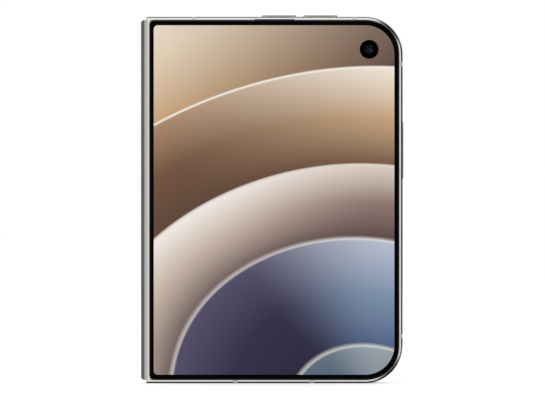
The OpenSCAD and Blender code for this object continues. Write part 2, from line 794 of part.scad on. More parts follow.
module cover_camera_module() color("dimgray") on_front() {
  box(camera_x - camera_body, camera_x + camera_body, camera_y - camera_body, camera_y + camera_body,
    cavity_floor, panel_seat - 0.5);
  translate([camera_x, camera_y, panel_seat - 0.5]) cylinder(h = 0.7, r = cover_camera_hole / 2 - 0.15);
}

module cover_camera_lens() color("midnightblue") on_front()
  translate([camera_x, camera_y, panel_seat + 0.2]) cylinder(h = glass_seat - panel_seat - 0.22, r = 1.8);

module earpiece_mesh() color("gray") on_front()
  box(earpiece_x - earpiece_length / 2 + fit, earpiece_x + earpiece_length / 2 - fit,
    leaf_height - rim_width, leaf_height - rim_width + 0.3 - fit, ledge + fit, glass_seat + 0.3);

module earpiece_speaker() color("dimgray") on_front()
  box(earpiece_x - 8, earpiece_x + 8, leaf_height - rail_depth - earpiece_height, leaf_height - rail_depth - fit,
    cavity_floor, cell_top);

module front_battery() color("dimgray") on_front()
  box(cell_left, free_edge - 12, front_cell_low, front_cell_top, cavity_floor, cell_top);

module front_board() color("darkgreen") on_front() {
  box(cell_left, camera_x - camera_body - 2, front_board_top - front_board_height, front_board_top, cavity_floor, cavity_floor + board_thickness);
}

module front_board_shields() color("silver") on_front()
  for (left = [cell_left + 4, cell_left + 24])
    box(left, left + 16, front_board_top - front_board_height + 3, front_board_top - 3, cavity_floor + board_thickness, cell_top);

// A board connector or chip standing on a board
module board_block(x, y, length, width) {
  face = cavity_floor + board_thickness;
  box(x - length / 2, x + length / 2, y - width / 2, y + width / 2, face, face + block_height);
}

module front_connectors() color("dimgray") on_front() {
  first = cell_left + 44;
  middle = front_board_top - front_board_height / 2;
  board_block(first, middle, 2.4, 9);
  board_block(first + 5, middle + 2.6, 4, 3.4);
  board_block(first + 5, middle - 2.6, 4, 3.4);
}

module front_support_plate() color("silver") on_front() support_plate();

module inner_display_front() color("black") on_front() inner_display_flat();

module inner_bezel_front() color("black") on_front() inner_bezel();

module front_hinge_arms() color("lightsteelblue") on_front() hinge_arms(-1);

module front_hinge_screws() color("gray") on_front() arm_screws();

module magnets() {
  for (y = magnet_y)
    box(free_edge - rail_depth - edge_room - magnet_width, free_edge - rail_depth - edge_room, y, y + magnet_length,
      cavity_floor, cell_top);
}

module front_magnets() color("silver") on_front() magnets();

// ---------- pieces of the rear leaf ----------

module rear_frame() color("silver") on_rear() difference() {
  chassis();
  break_cuts();
  rear_bottom_cuts();
  at_volume(up_centre) button_slot(volume_length);
  at_volume(down_centre) button_slot(volume_length);
  at_power() button_slot(power_length);
  tray_face(slide, rail_depth + 1);
  translate([inner_camera_x, inner_camera_y, 0]) cylinder(h = 2, r = inner_camera_radius + 0.3);
}

module rear_antenna_breaks() color("darkgray") on_rear() antenna_breaks();

module back_glass() color("dimgray") on_rear() difference() {
  glass_sheet();
  translate([0, 0, glass_seat - 1]) linear_extrude(3)
    polygon(plan(bump_left - 2 * fit, bump_right + 2 * fit, bump_low - 2 * fit, bump_up + 2 * fit,
      bump_corner + 2 * fit, bump_corner + 2 * fit));
}

module back_seal() color("dimgray") on_rear() glass_seal();

module island_section() {
  polygon(concat([[-island_wall, glass_seat], [0, glass_seat]],
    arc(-island_roof, island_face - island_roof, island_roof, 0, 90, 6),
    [[-island_wall - 1, island_face], [-island_wall - 1, island_face - island_roof],
     [-island_wall, island_face - island_roof]]));
}

module camera_island() color("silver") on_rear() difference() {
  union() {
    sweep_round(bump_left, bump_right, bump_low, bump_up, bump_corner, bump_corner) island_section();
    translate([0, 0, island_face - island_roof]) linear_extrude(island_roof)
      polygon(plan(bump_left + 2.5, bump_right - 2.5, bump_low + 2.5, bump_up - 2.5, bump_corner - 2.5, bump_corner - 2.5));
  }
  for (x = lens_x) translate([x, bump_y, 0]) cylinder(h = 2 * bump_face, r = ring_radius - 0.4);
  for (side = [-1, 1])
    translate([bump_x, bump_y + side * small_offset, 0]) cylinder(h = 2 * bump_face, r = small_window + fit);
}

module camera_rings() color("gray") on_rear() {
  for (x = lens_x) translate([x, bump_y, island_face]) rotate_extrude($fn = 96)
    polygon([[ring_radius - ring_band, 0], [ring_radius, 0], [ring_radius, ring_proud - ring_chamfer],
      [ring_radius - ring_chamfer, ring_proud], [ring_radius - ring_band + 2 * ring_chamfer, ring_proud],
      [ring_radius - ring_band, ring_proud - 2 * ring_chamfer]]);
}

module camera_windows() color("black") on_rear() {
  for (x = lens_x) translate([x, bump_y, island_face - 0.4]) cylinder(h = 0.4, r = ring_radius - 0.45);
  translate([bump_x, bump_y - small_offset, island_face - 0.4]) cylinder(h = 0.4, r = small_window);
}

module camera_modules() color("dimgray") on_rear() {
  for (x = lens_x) {
    box(x - camera_half, x + camera_half, bump_y - camera_half, bump_y + camera_half, cavity_floor, glass_seat - 0.1);
    translate([x, bump_y, glass_seat - 0.1]) cylinder(h = island_face - 0.35 - glass_seat, r = 5.2);
  }
  translate([bump_x, bump_y - small_offset, cavity_floor]) cylinder(h = island_face - 0.45 - cavity_floor, r = 1.9);
}

module flash_window() color("white") on_rear()
  translate([bump_x, bump_y + small_offset, island_face - 0.9]) cylinder(h = 0.9, r = small_window);

module main_board() color("darkgreen") on_rear() {
  thick = cavity_floor + board_thickness;
  box(cell_left, tab_right, board_strip_low, board_strip_top, cavity_floor, thick);
  box(cell_left, lens_x[0] - camera_half - 1, board_strip_low, leaf_height - 9, cavity_floor, thick);
  box(tab_left, tab_right, tab_low, board_strip_top, cavity_floor, thick);
  box(bump_x - 7, bump_x + 7, board_strip_low, bump_y - 5.7, cavity_floor, thick);
}

module board_shields() color("silver") on_rear() {
  box(cell_left + 1.5, lens_x[0] - camera_half - 3, bump_low - 2, bump_up - 5, cavity_floor + board_thickness, cell_top);
  box(tab_left + 1, tab_right - 1, tab_low + 2, tab_low + 20, cavity_floor + board_thickness, cell_top);
}

module board_connectors() color("dimgray") on_rear() {
  strip = (board_strip_low + board_strip_top) / 2;
  for (i = [0:3]) board_block(cell_left + 6 + 9 * i, strip, 6, 1.7);
  board_block(bump_x, bump_low + 0.5, 8, 3);
  board_block((tab_left + tab_right) / 2, strip - 1.4, 5, 4);
}

module rear_battery() color("dimgray") on_rear()
  box(cell_left, rear_cell_right, rear_cell_low, rear_cell_top, cavity_floor, cell_top - 0.1);

module charging_coil() color("sienna") on_rear()
  translate([(cell_left + rear_cell_right) / 2, (rear_cell_low + rear_cell_top) / 2, cell_top - 0.1]) difference() {
    cylinder(h = coil_thickness, r = coil_outer);
    translate([0, 0, -1]) cylinder(h = 3, r = coil_inner);
  }

module loudspeaker() color("dimgray") on_rear()
  box(speaker_x - speaker_half, free_edge - corner_radius, rail_depth + edge_room, rail_depth + edge_room + speaker_height,
    cavity_floor, cell_top);

module speaker_mesh() color("gray") on_rear()
  box(speaker_x - speaker_mesh_half, speaker_x + speaker_mesh_half, rail_depth, rail_depth + speaker_mesh_thickness, middle_level - 0.9, middle_level + 0.9);

module usb_c_port() color("silver") on_rear()
  translate([port_x, port_depth + port_inset, port_level]) rotate([90, 0, 0]) difference() {
    linear_extrude(port_depth) port_outline(port_wall);
    translate([0, 0, 1.6]) linear_extrude(port_depth) port_outline(0);
  }

module usb_c_tongue() color("black") on_rear()
  translate([port_x, port_depth + port_inset - 1.6, port_level]) rotate([90, 0, 0])
    translate([-3.1, -0.35, 0]) cube([6.2, 0.7, port_depth - 2.2]);

module button_switches() color("goldenrod") on_rear() {
  at_volume(up_centre) switch_behind(volume_length - 4);
  at_volume(down_centre) switch_behind(volume_length - 4);
  at_power() switch_behind(power_length - 4);
}

module haptic_motor() color("silver") on_rear()
  box(cell_left, cell_left + 10, rail_depth + edge_room, rear_cell_low - 3, cavity_floor, cell_top);

module rear_support_plate() color("silver") on_rear() difference() {
  support_plate();
  translate([inner_camera_x, inner_camera_y, 0]) cylinder(h = 2, r = inner_camera_radius + 0.2);
}

module inner_display_rear() color("black") on_rear() difference() {
  inner_display_flat();
  translate([inner_camera_x, inner_camera_y, 0]) cylinder(h = 2, r = inner_camera_radius + 0.05);
}

module inner_bezel_rear() color("black") on_rear() inner_bezel();

module rear_hinge_arms() color("lightsteelblue") on_rear() hinge_arms(1);

module rear_hinge_screws() color("gray") on_rear() arm_screws();

module rear_magnets() color("silver") on_rear() magnets();

module inner_camera() color("midnightblue") on_rear() {
  translate([inner_camera_x, inner_camera_y, display_face + 0.02])
    cylinder(h = cavity_floor + 0.6 - display_face, r = inner_camera_radius);
  box(inner_camera_x - 3, inner_camera_x + 3, inner_camera_y - 2.5, inner_camera_y + 2.5, cavity_floor, cavity_floor + 1.8);
}

// ---------- pieces of the spine ----------

module hinge_cover() color("silver") on_front() hinge_cover_body();

module hinge_blocks() color("gray") on_front() hinge_block_set();

module hinge_centre_plate() color("lightsteelblue") on_front() {
  back = centre_plate_face - centre_plate_thickness;
  box(back, centre_plate_face, wing_start, leaf_height - wing_start, -centre_plate_half, centre_plate_half);
  for (c = module_centres) for (s = [-1, 1])
    box(core_face, back, c + s * 5.5 - 1.5, c + s * 5.5 + 1.5, -0.6, 0.6);
}

module gear_shafts() color("silver") on_front() shafts(0);

module hinge_block_screws() color("gray") on_front() {
  block_screw_holes(block_foot_x - 0.2, foot_reach / 6 + 0.2, 0.3);
  block_screw_holes(block_foot_x + foot_reach / 6, 0.3, 0.7);
}

module inner_display_fold() color("black") on_front()
  along_height(fold_display_inset, leaf_height - fold_display_inset) loop_section();

// ---------- pieces that move by themselves ----------

module front_wing_plate() color("lightsteelblue") on_front() wing();

module rear_wing_plate() color("lightsteelblue") on_rear() wing();

module front_outer_gear() color("gold")
  front_gear([outer_gear_x, outer_gear_z], outer_turn, -chamber_half + 0.1, mesh_half - 0.1);

module front_idler_gear() color("gold")
  front_gear([idler_x, idler_z], idler_turn, -mesh_half + 0.1, mesh_half - 0.1);

module rear_idler_gear() color("gold")
  rear_gear([idler_x, idler_z], idler_turn, -mesh_half + 0.1, mesh_half - 0.1);

module rear_outer_gear() color("gold")
  rear_gear([outer_gear_x, outer_gear_z], outer_turn, -mesh_half + 0.1, chamber_half - 0.1);

module power_button() color("silver") on_rear() at_power() button(power_length, power_proud);

module volume_up_button() color("silver") on_rear() at_volume(up_centre) button(volume_length, volume_proud);

module volume_down_button() color("silver") on_rear() at_volume(down_centre) button(volume_length, volume_proud);

module sim_tray() color("silver") on_rear() {
  difference() {
    tray_face(0, rail_depth + 0.2);
    translate([free_edge - eject_depth, tray_centre + tray_face_length / 2 - 1.8, tray_level]) rotate([0, 90, 0])
      cylinder(h = eject_depth + 1, r = eject_radius, $fn = 24);
  }
  difference() {
    box(free_edge - tray_length - 1, free_edge - rail_depth, tray_centre - tray_width / 2, tray_centre + tray_width / 2,
      tray_level - 0.45, tray_level + 0.45);
    box(free_edge - tray_length, free_edge - rail_depth - 1.5, tray_centre - tray_width / 2 + 1, tray_centre + tray_width / 2 - 1,
      tray_level - 0.15, tray_level + 1);
  }
}

front_frame();
front_antenna_breaks();
cover_glass();
cover_display_panel();
cover_seal();
cover_camera_lens();
cover_camera_module();
earpiece_mesh();
earpiece_speaker();
front_battery();
front_board();
front_board_shields();
front_connectors();
front_support_plate();
inner_display_front();
inner_bezel_front();
front_hinge_arms();
front_hinge_screws();
front_magnets();
rear_frame();
rear_antenna_breaks();
back_glass();
back_seal();
camera_island();
camera_rings();
camera_windows();
camera_modules();
flash_window();
main_board();
board_shields();
board_connectors();
rear_battery();
loudspeaker();
speaker_mesh();
usb_c_port();
usb_c_tongue();
button_switches();
haptic_motor();
charging_coil();
rear_support_plate();
inner_display_rear();
inner_bezel_rear();
rear_hinge_arms();
rear_hinge_screws();
rear_magnets();
inner_camera();
hinge_cover();
hinge_blocks();
hinge_centre_plate();
gear_shafts();
hinge_block_screws();
inner_display_fold();
front_wing_plate();
rear_wing_plate();
front_outer_gear();
front_idler_gear();
rear_idler_gear();
rear_outer_gear();
power_button();
volume_up_button();
volume_down_button();
sim_tray();
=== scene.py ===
import math

import bpy
import numpy as np
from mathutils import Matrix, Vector


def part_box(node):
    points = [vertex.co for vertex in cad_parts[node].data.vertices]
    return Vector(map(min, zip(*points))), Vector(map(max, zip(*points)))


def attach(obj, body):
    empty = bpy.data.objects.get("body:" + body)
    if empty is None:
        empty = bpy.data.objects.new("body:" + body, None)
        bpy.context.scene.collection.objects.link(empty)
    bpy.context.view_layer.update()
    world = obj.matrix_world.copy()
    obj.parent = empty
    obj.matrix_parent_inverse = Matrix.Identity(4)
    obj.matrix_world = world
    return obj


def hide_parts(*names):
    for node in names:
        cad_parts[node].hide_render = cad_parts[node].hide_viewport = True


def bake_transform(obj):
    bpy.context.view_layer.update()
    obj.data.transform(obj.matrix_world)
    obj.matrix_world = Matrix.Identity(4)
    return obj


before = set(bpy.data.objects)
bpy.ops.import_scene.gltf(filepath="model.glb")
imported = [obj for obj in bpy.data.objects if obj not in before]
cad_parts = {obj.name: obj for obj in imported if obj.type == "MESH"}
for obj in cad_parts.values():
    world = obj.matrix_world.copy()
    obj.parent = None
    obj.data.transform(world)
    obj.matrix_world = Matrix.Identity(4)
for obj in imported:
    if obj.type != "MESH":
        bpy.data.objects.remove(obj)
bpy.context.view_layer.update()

MM = 0.001

# ---------- sizes of the phone, in millimetres, as the construction has them ----------
# A leaf is measured from the fold line (x), up from its bottom edge (y), and outward from the plane
# where the two leaves meet (z).

LEAF_HEIGHT = 120.0
LEAF_WIDTH = 83.9
SEAM = -1.02                    # the leaf's edge beside the spine
FREE_EDGE = SEAM + LEAF_WIDTH
LEAF_PLAN = (SEAM, FREE_EDGE, 0.0, LEAF_HEIGHT)
CORNER = 12.3
SEAM_CORNER = 0.5
FOLD_FACE = 0.15                # the frame's inner face
OUTER_FACE = 4.95
RIM = 1.1                       # width of the metal round the glass
FIT = 0.05                      # clearance round the glass

# cover glass and back glass
GLASS = 0.55
GLASS_SEAT = OUTER_FACE - GLASS
GLASS_INSET = RIM + FIT
GLASS_LEFT = -0.02 + FIT        # its edge beside the spine
GLASS_CORNER = 1.55             # its corners there
GLASS_ROUND = 0.45              # reach of the rounded edge into the face
GLASS_DROP = 0.2                # and down the side
SEAT_CHAMFER = 0.08
COVER_BACK = (GLASS_INSET + 3, GLASS_LEFT + 3, 0.4)     # flat back's ring: inset, left edge, corners

# cover display and its camera
BORDER_SIDE = 2.7               # free edge to the lit area
BORDER_SEAM = 1.43              # fold line to the lit area
BORDER_ENDS = 2.84              # bottom and top edges to the lit area
LIT_AREA = (BORDER_SEAM, FREE_EDGE - BORDER_SIDE, BORDER_ENDS, LEAF_HEIGHT - BORDER_ENDS)
LIT_CORNERS = (1.3, CORNER - BORDER_SIDE)
PANEL_SEAT = GLASS_SEAT - 0.32
PANEL_FACE = GLASS_SEAT - 0.02
PANEL_OUTLINE = (2.1, 1.31, 0.8)                        # inset, left edge, corners there
INK_LOW, INK_TOP = GLASS_SEAT - 0.016, GLASS_SEAT - 0.004
INK_CENTRE = (40.0, LEAF_HEIGHT / 2)                    # a point inside every ring of the border
CAMERA_X = FREE_EDGE - 10.95
CAMERA_Y = LEAF_HEIGHT - 10.7
CAMERA_HOLE = 3.1
IRIS_OUTER = 3.07
IRIS_INNER = 1.72
COVER_LENS = (1.76, GLASS_SEAT - 0.11, 0.09)            # radius, height of its edge, rise of its cap

# folding display
PIVOT = 1.15                    # fold axis to the plane where the leaves meet
DISPLAY_FACE = 0.25
DISPLAY_BACK = 0.55
DISPLAY_INSET = 1.2
LOOP_START = 5.0
LOOP_END = 0.9
LOOP_SLOPE = math.radians(55)
INNER_BORDER = 2.6              # the leaf's edge to the lit area
INNER_CAMERA_X = SEAM + 25
INNER_CAMERA_Y = LEAF_HEIGHT - 5.6
INNER_LENS = (1.25, DISPLAY_FACE, 0.05)
INNER_DISC = 2.0                # radius of the black disc round the inner camera

# camera island
ISLAND_RIGHT, ISLAND_TOP = FREE_EDGE - 7, LEAF_HEIGHT - 7
ISLAND_LEFT, ISLAND_LOW = ISLAND_RIGHT - 46, ISLAND_TOP - 19
ISLAND_X, ISLAND_Y = (ISLAND_LEFT + ISLAND_RIGHT) / 2, (ISLAND_TOP + ISLAND_LOW) / 2
ISLAND_CORNER = 9.5
ISLAND_FACE = OUTER_FACE + 1.8
LENS_X = (ISLAND_X - 13.5, ISLAND_X + 13.5)
RING_INNER, RING_OUTER = 6.2, 7.2
RING_RISE = 0.4
WINDOW = 6.75
WINDOW_DEPTH = 0.4
MASK_INNER, MASK_OUTER = 5.1, WINDOW - 0.05
MASK_TOP, MASK_LOW = ISLAND_FACE - 0.41, ISLAND_FACE - 0.46
LARGE_BARREL = (5.2, ISLAND_FACE - 0.48, 5.15, 2.9, 7)  # radius, top, bottom, throat, steps
LARGE_LENS = (2.88, 5.1, 0.75)
SMALL_WINDOW = 2.05
SMALL_BARREL = (1.95, ISLAND_FACE - 0.42, 5.7, 1.1, 4)
SMALL_LENS = (1.09, 5.65, 0.3)
SMALL_OFFSET = 3.6              # small lens and flash, below and above the island's middle
FLASH = 2.0
GROOVE = 0.16                   # from one groove of the flash's lens to the next

# charging coil
COIL_INNER, COIL_OUTER = 10.0, 22.0
FERRITE = 0.06
WINDINGS = (10.5, 21.4)         # radii of the wire's first and last turn
WIRE = 0.09                     # half the wire's thickness
WIRE_WIDTH = 4.0                # its width, times its thickness
COIL_TURNS = 13

# the fold line and the fold plane in the row frame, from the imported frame
LEAF_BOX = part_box("front_frame")
FOLD_X = LEAF_BOX[0].x / MM - SEAM
FOLD_Y = LEAF_BOX[1].y / MM + FOLD_FACE


def stand(points, side):
    """Stands leaf points up in the row frame: x and y become X and Z from the fold line, and z points
    towards -Y on the front leaf (side -1) and towards +Y on the rear leaf (side 1)."""
    p = np.asarray(points, float)
    return np.stack([p[..., 0] + FOLD_X, side * p[..., 2] + FOLD_Y, p[..., 1]], -1) * MM


# ---------- meshes ----------

def outward(points, faces):
    """The faces of a closed surface, turned so that they look outward: the sum of p0 . (p1 x p2) over
    fans of triangles, which is six times the volume that they enclose, must be positive."""
    volume = 0.0
    for size in {len(f) for f in faces}:
        p = points[np.array([f for f in faces if len(f) == size])]
        for k in range(1, size - 1):
            volume += np.einsum("ij,ij->", p[:, 0], np.cross(p[:, k], p[:, k + 1]))
    return faces if volume > 0 else [f[::-1] for f in faces]


def mesh_object(name, points, faces, smooth=True):
    """Makes an object from an array of points in metres and a list of faces."""
    mesh = bpy.data.meshes.new(name)
    points = np.asarray(points).reshape(-1, 3)
    mesh.from_pydata(points.tolist(), [], outward(points, faces))
    mesh.update()
    if smooth:
        mesh.shade_smooth()
    else:
        mesh.shade_flat()
    obj = bpy.data.objects.new(name, mesh)
    bpy.context.collection.objects.link(obj)
    return obj


def ring_faces(rings, count):
    """Quads between consecutive rings of count points each, numbered ring by ring."""
    i, j = np.meshgrid(np.arange(rings - 1), np.arange(count), indexing="ij")
    k = (j + 1) % count
    quads = np.stack([i * count + j, i * count + k, (i + 1) * count + k, (i + 1) * count + j], -1)
    return quads.reshape(-1, 4).tolist()


def closing_faces(rings, count):
    """Quads that join the last ring back to the first, so that the rings make a closed tube."""
    j = np.arange(count)
    k = (j + 1) % count
    last = (rings - 1) * count
    return np.stack([last + j, last + k, k, j], -1).tolist()


def pole_faces(rings, count):
    """Triangles that close the first ring with a point after all rings, and the last with the next."""
    j = np.arange(count)
    k = (j + 1) % count
    last, pole = (rings - 1) * count, np.full(count, rings * count)
    first_fan = np.stack([k, j, pole], -1)
    last_fan = np.stack([last + j, last + k, pole + 1], -1)
    return first_fan.tolist() + last_fan.tolist()


def end_caps(rings, count):
    """One flat face inside the first ring and one inside the last."""
    last = (rings - 1) * count
    return [list(range(count))[::-1], list(range(last, last + count))]


def rounded(left, right, bottom, top, left_r, right_r, z, steps=24):
    """One ring: a rectangle at height z whose left corners have radius left_r and right corners
    right_r, counter-clockwise, as four quarter circles joined by straight runs."""
    quarter = np.linspace(0, np.pi / 2, steps)
    corners = []
    for cx, cy, r, start in ((right - right_r, bottom + right_r, right_r, -np.pi / 2),
                             (right - right_r, top - right_r, right_r, 0),
                             (left + left_r, top - left_r, left_r, np.pi / 2),
                             (left + left_r, bottom + left_r, left_r, np.pi)):
        turn = quarter + start
        corners.append(np.stack([cx + r * np.cos(turn), cy + r * np.sin(turn), np.full(steps, z)], -1))
    return np.concatenate(corners)


def leaf_ring(inset, left, left_r, z):
    """The plan of a leaf set in from its free sides, with its seam side at x = left."""
    return rounded(left, FREE_EDGE - inset, inset, LEAF_HEIGHT - inset, left_r, CORNER - inset, z)


def circle(x, y, radius, z, count=96):
    """One ring: a circle at height z round (x, y)."""
    turn = np.linspace(0, 2 * np.pi, count, endpoint=False)
    return np.stack([x + radius * np.cos(turn), y + radius * np.sin(turn), np.full(count, z)], -1)


def plate(name, rings, side):
    """A closed plate: rings of leaf points from the middle of one face over the edge to the middle of
    the other, with a flat cap inside the first and the last ring."""
    points = stand(np.asarray(rings), side)
    size = points.shape[:2]
    obj = mesh_object(name, points, ring_faces(*size) + end_caps(*size))
    smooth_by_angle(obj, 25)
    return obj


def cast(ring, centre, angles):
    """Where rays from a centre at the given angles meet a closed ring that goes once round it."""
    a = ring[:, :2] - centre
    b = np.roll(a, -1, 0) - a
    ray = np.stack([np.cos(angles), np.sin(angles)], -1)
    det = ray[:, None, 0] * b[None, :, 1] - ray[:, None, 1] * b[None, :, 0]
    det = np.where(np.abs(det) < 1e-12, 1e-12, det)
    t = (a[None, :, 0] * b[None, :, 1] - a[None, :, 1] * b[None, :, 0]) / det
    s = (a[None, :, 0] * ray[:, None, 1] - a[None, :, 1] * ray[:, None, 0]) / det
    t = np.where((s > -1e-6) & (s < 1 + 1e-6) & (t > 0), t, np.inf).min(1)
    level = np.full(len(angles), ring[0, 2])
    return np.concatenate([centre + ray * t[:, None], level[:, None]], 1)


def loft(name, rings, centre, side, smooth=None):
    """A closed tube through rings that all go round one centre, each cut by the same rays from it:
    the rays through the corners of the longest ring and even ones between them."""
    centre = np.asarray(centre, float)
    longest = max(rings, key=lambda r: np.ptp(r[:, 1]))[:, :2] - centre
    even = np.linspace(-np.pi, np.pi, 120, endpoint=False)
    angles = np.concatenate([np.arctan2(longest[:, 1], longest[:, 0]), even])
    angles = np.unique(np.round(np.mod(angles, 2 * np.pi), 6))
    points = np.stack([cast(r, centre, angles) for r in rings])
    size = points.shape[:2]
    faces = ring_faces(*size) + closing_faces(*size)
    obj = mesh_object(name, stand(points, side), faces, smooth=bool(smooth))
    if smooth:
        smooth_by_angle(obj, smooth)
    return obj


def turned(name, x, y, profile, side, count=72, smooth=35):
    """A turned piece: a profile of (radius, z) swept round the axis at (x, y). A profile that starts
    and ends on the axis is closed by its poles, any other by joining its two ends."""
    profile = np.asarray(profile, float)
    body = profile[profile[:, 0] > 0]
    turn = np.linspace(0, 2 * np.pi, count, endpoint=False)
    size = (len(body), count)
    points = np.stack([x + body[:, :1] * np.cos(turn), y + body[:, :1] * np.sin(turn),
                       np.broadcast_to(body[:, 1:], size)], -1).reshape(-1, 3)
    if len(body) < len(profile):
        points = np.concatenate([points, [[x, y, profile[0, 1]], [x, y, profile[-1, 1]]]])
        faces = ring_faces(*size) + pole_faces(*size)
    else:
        faces = ring_faces(*size) + closing_faces(*size)
    obj = mesh_object(name, stand(points, side), faces)
    smooth_by_angle(obj, smooth)
    return obj


SMOOTHING = {}


def smoothing_tree(degrees):
    """Geometry nodes that merge doubles and shade smooth, except over edges sharper than the angle."""
    tree = bpy.data.node_groups.new(f"smooth_{degrees}", "GeometryNodeTree")
    tree.interface.new_socket("Geometry", in_out="INPUT", socket_type="NodeSocketGeometry")
    tree.interface.new_socket("Geometry", in_out="OUTPUT", socket_type="NodeSocketGeometry")
    add, link = tree.nodes.new, tree.links.new
    start, end = add("NodeGroupInput"), add("NodeGroupOutput")
    merge, drop = add("GeometryNodeMergeByDistance"), add("GeometryNodeRemoveAttribute")
    faces, edges = add("GeometryNodeSetShadeSmooth"), add("GeometryNodeSetShadeSmooth")
    angle, compare = add("GeometryNodeInputMeshEdgeAngle"), add("FunctionNodeCompare")
    merge.inputs["Distance"].default_value = 2e-7
    drop.inputs["Name"].default_value = "custom_normal"
    edges.domain = "EDGE"
    compare.operation = "LESS_THAN"
    compare.inputs["B"].default_value = math.radians(degrees)
    link(start.outputs[0], merge.inputs["Geometry"])
    link(merge.outputs[0], drop.inputs["Geometry"])
    link(drop.outputs[0], faces.inputs["Geometry"])
    link(faces.outputs[0], edges.inputs["Geometry"])
    link(angle.outputs["Unsigned Angle"], compare.inputs["A"])
    link(compare.outputs["Result"], edges.inputs["Shade Smooth"])
    link(edges.outputs[0], end.inputs[0])
    return tree


def smooth_by_angle(obj, degrees=30):
    """Puts the smoothing for that angle on a piece, as a modifier."""
    if degrees not in SMOOTHING:
        SMOOTHING[degrees] = smoothing_tree(degrees)
    modifier = obj.modifiers.new("smooth", "NODES")
    modifier.node_group = SMOOTHING[degrees]


def wear(piece, material):
    """Puts one material on every slot of a piece."""
    slots = piece.data.materials
    if not slots:
        slots.append(material)
    for i in range(len(slots)):
        slots[i] = material


def dressed(obj, material, body, slot, *stands_for):
    """Gives a new piece its finish and the body that it rides, and hides the nodes that it replaces. The
    slot is not used.
    """
    wear(obj, material)
    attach(obj, body)
    if stands_for:
        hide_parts(*stands_for)


# ---------- materials ----------

def tone(r, g, b):
    """A colour written as 0 to 255 on a screen, as the linear numbers that shaders take."""
    c = np.array([r, g, b]) / 255
    return (*np.where(c <= 0.04045, c / 12.92, ((c + 0.055) / 1.055) ** 2.4).tolist(), 1.0)


def grey(light):
    """A grey of that brightness, in linear numbers."""
    return (light, light, light, 1)


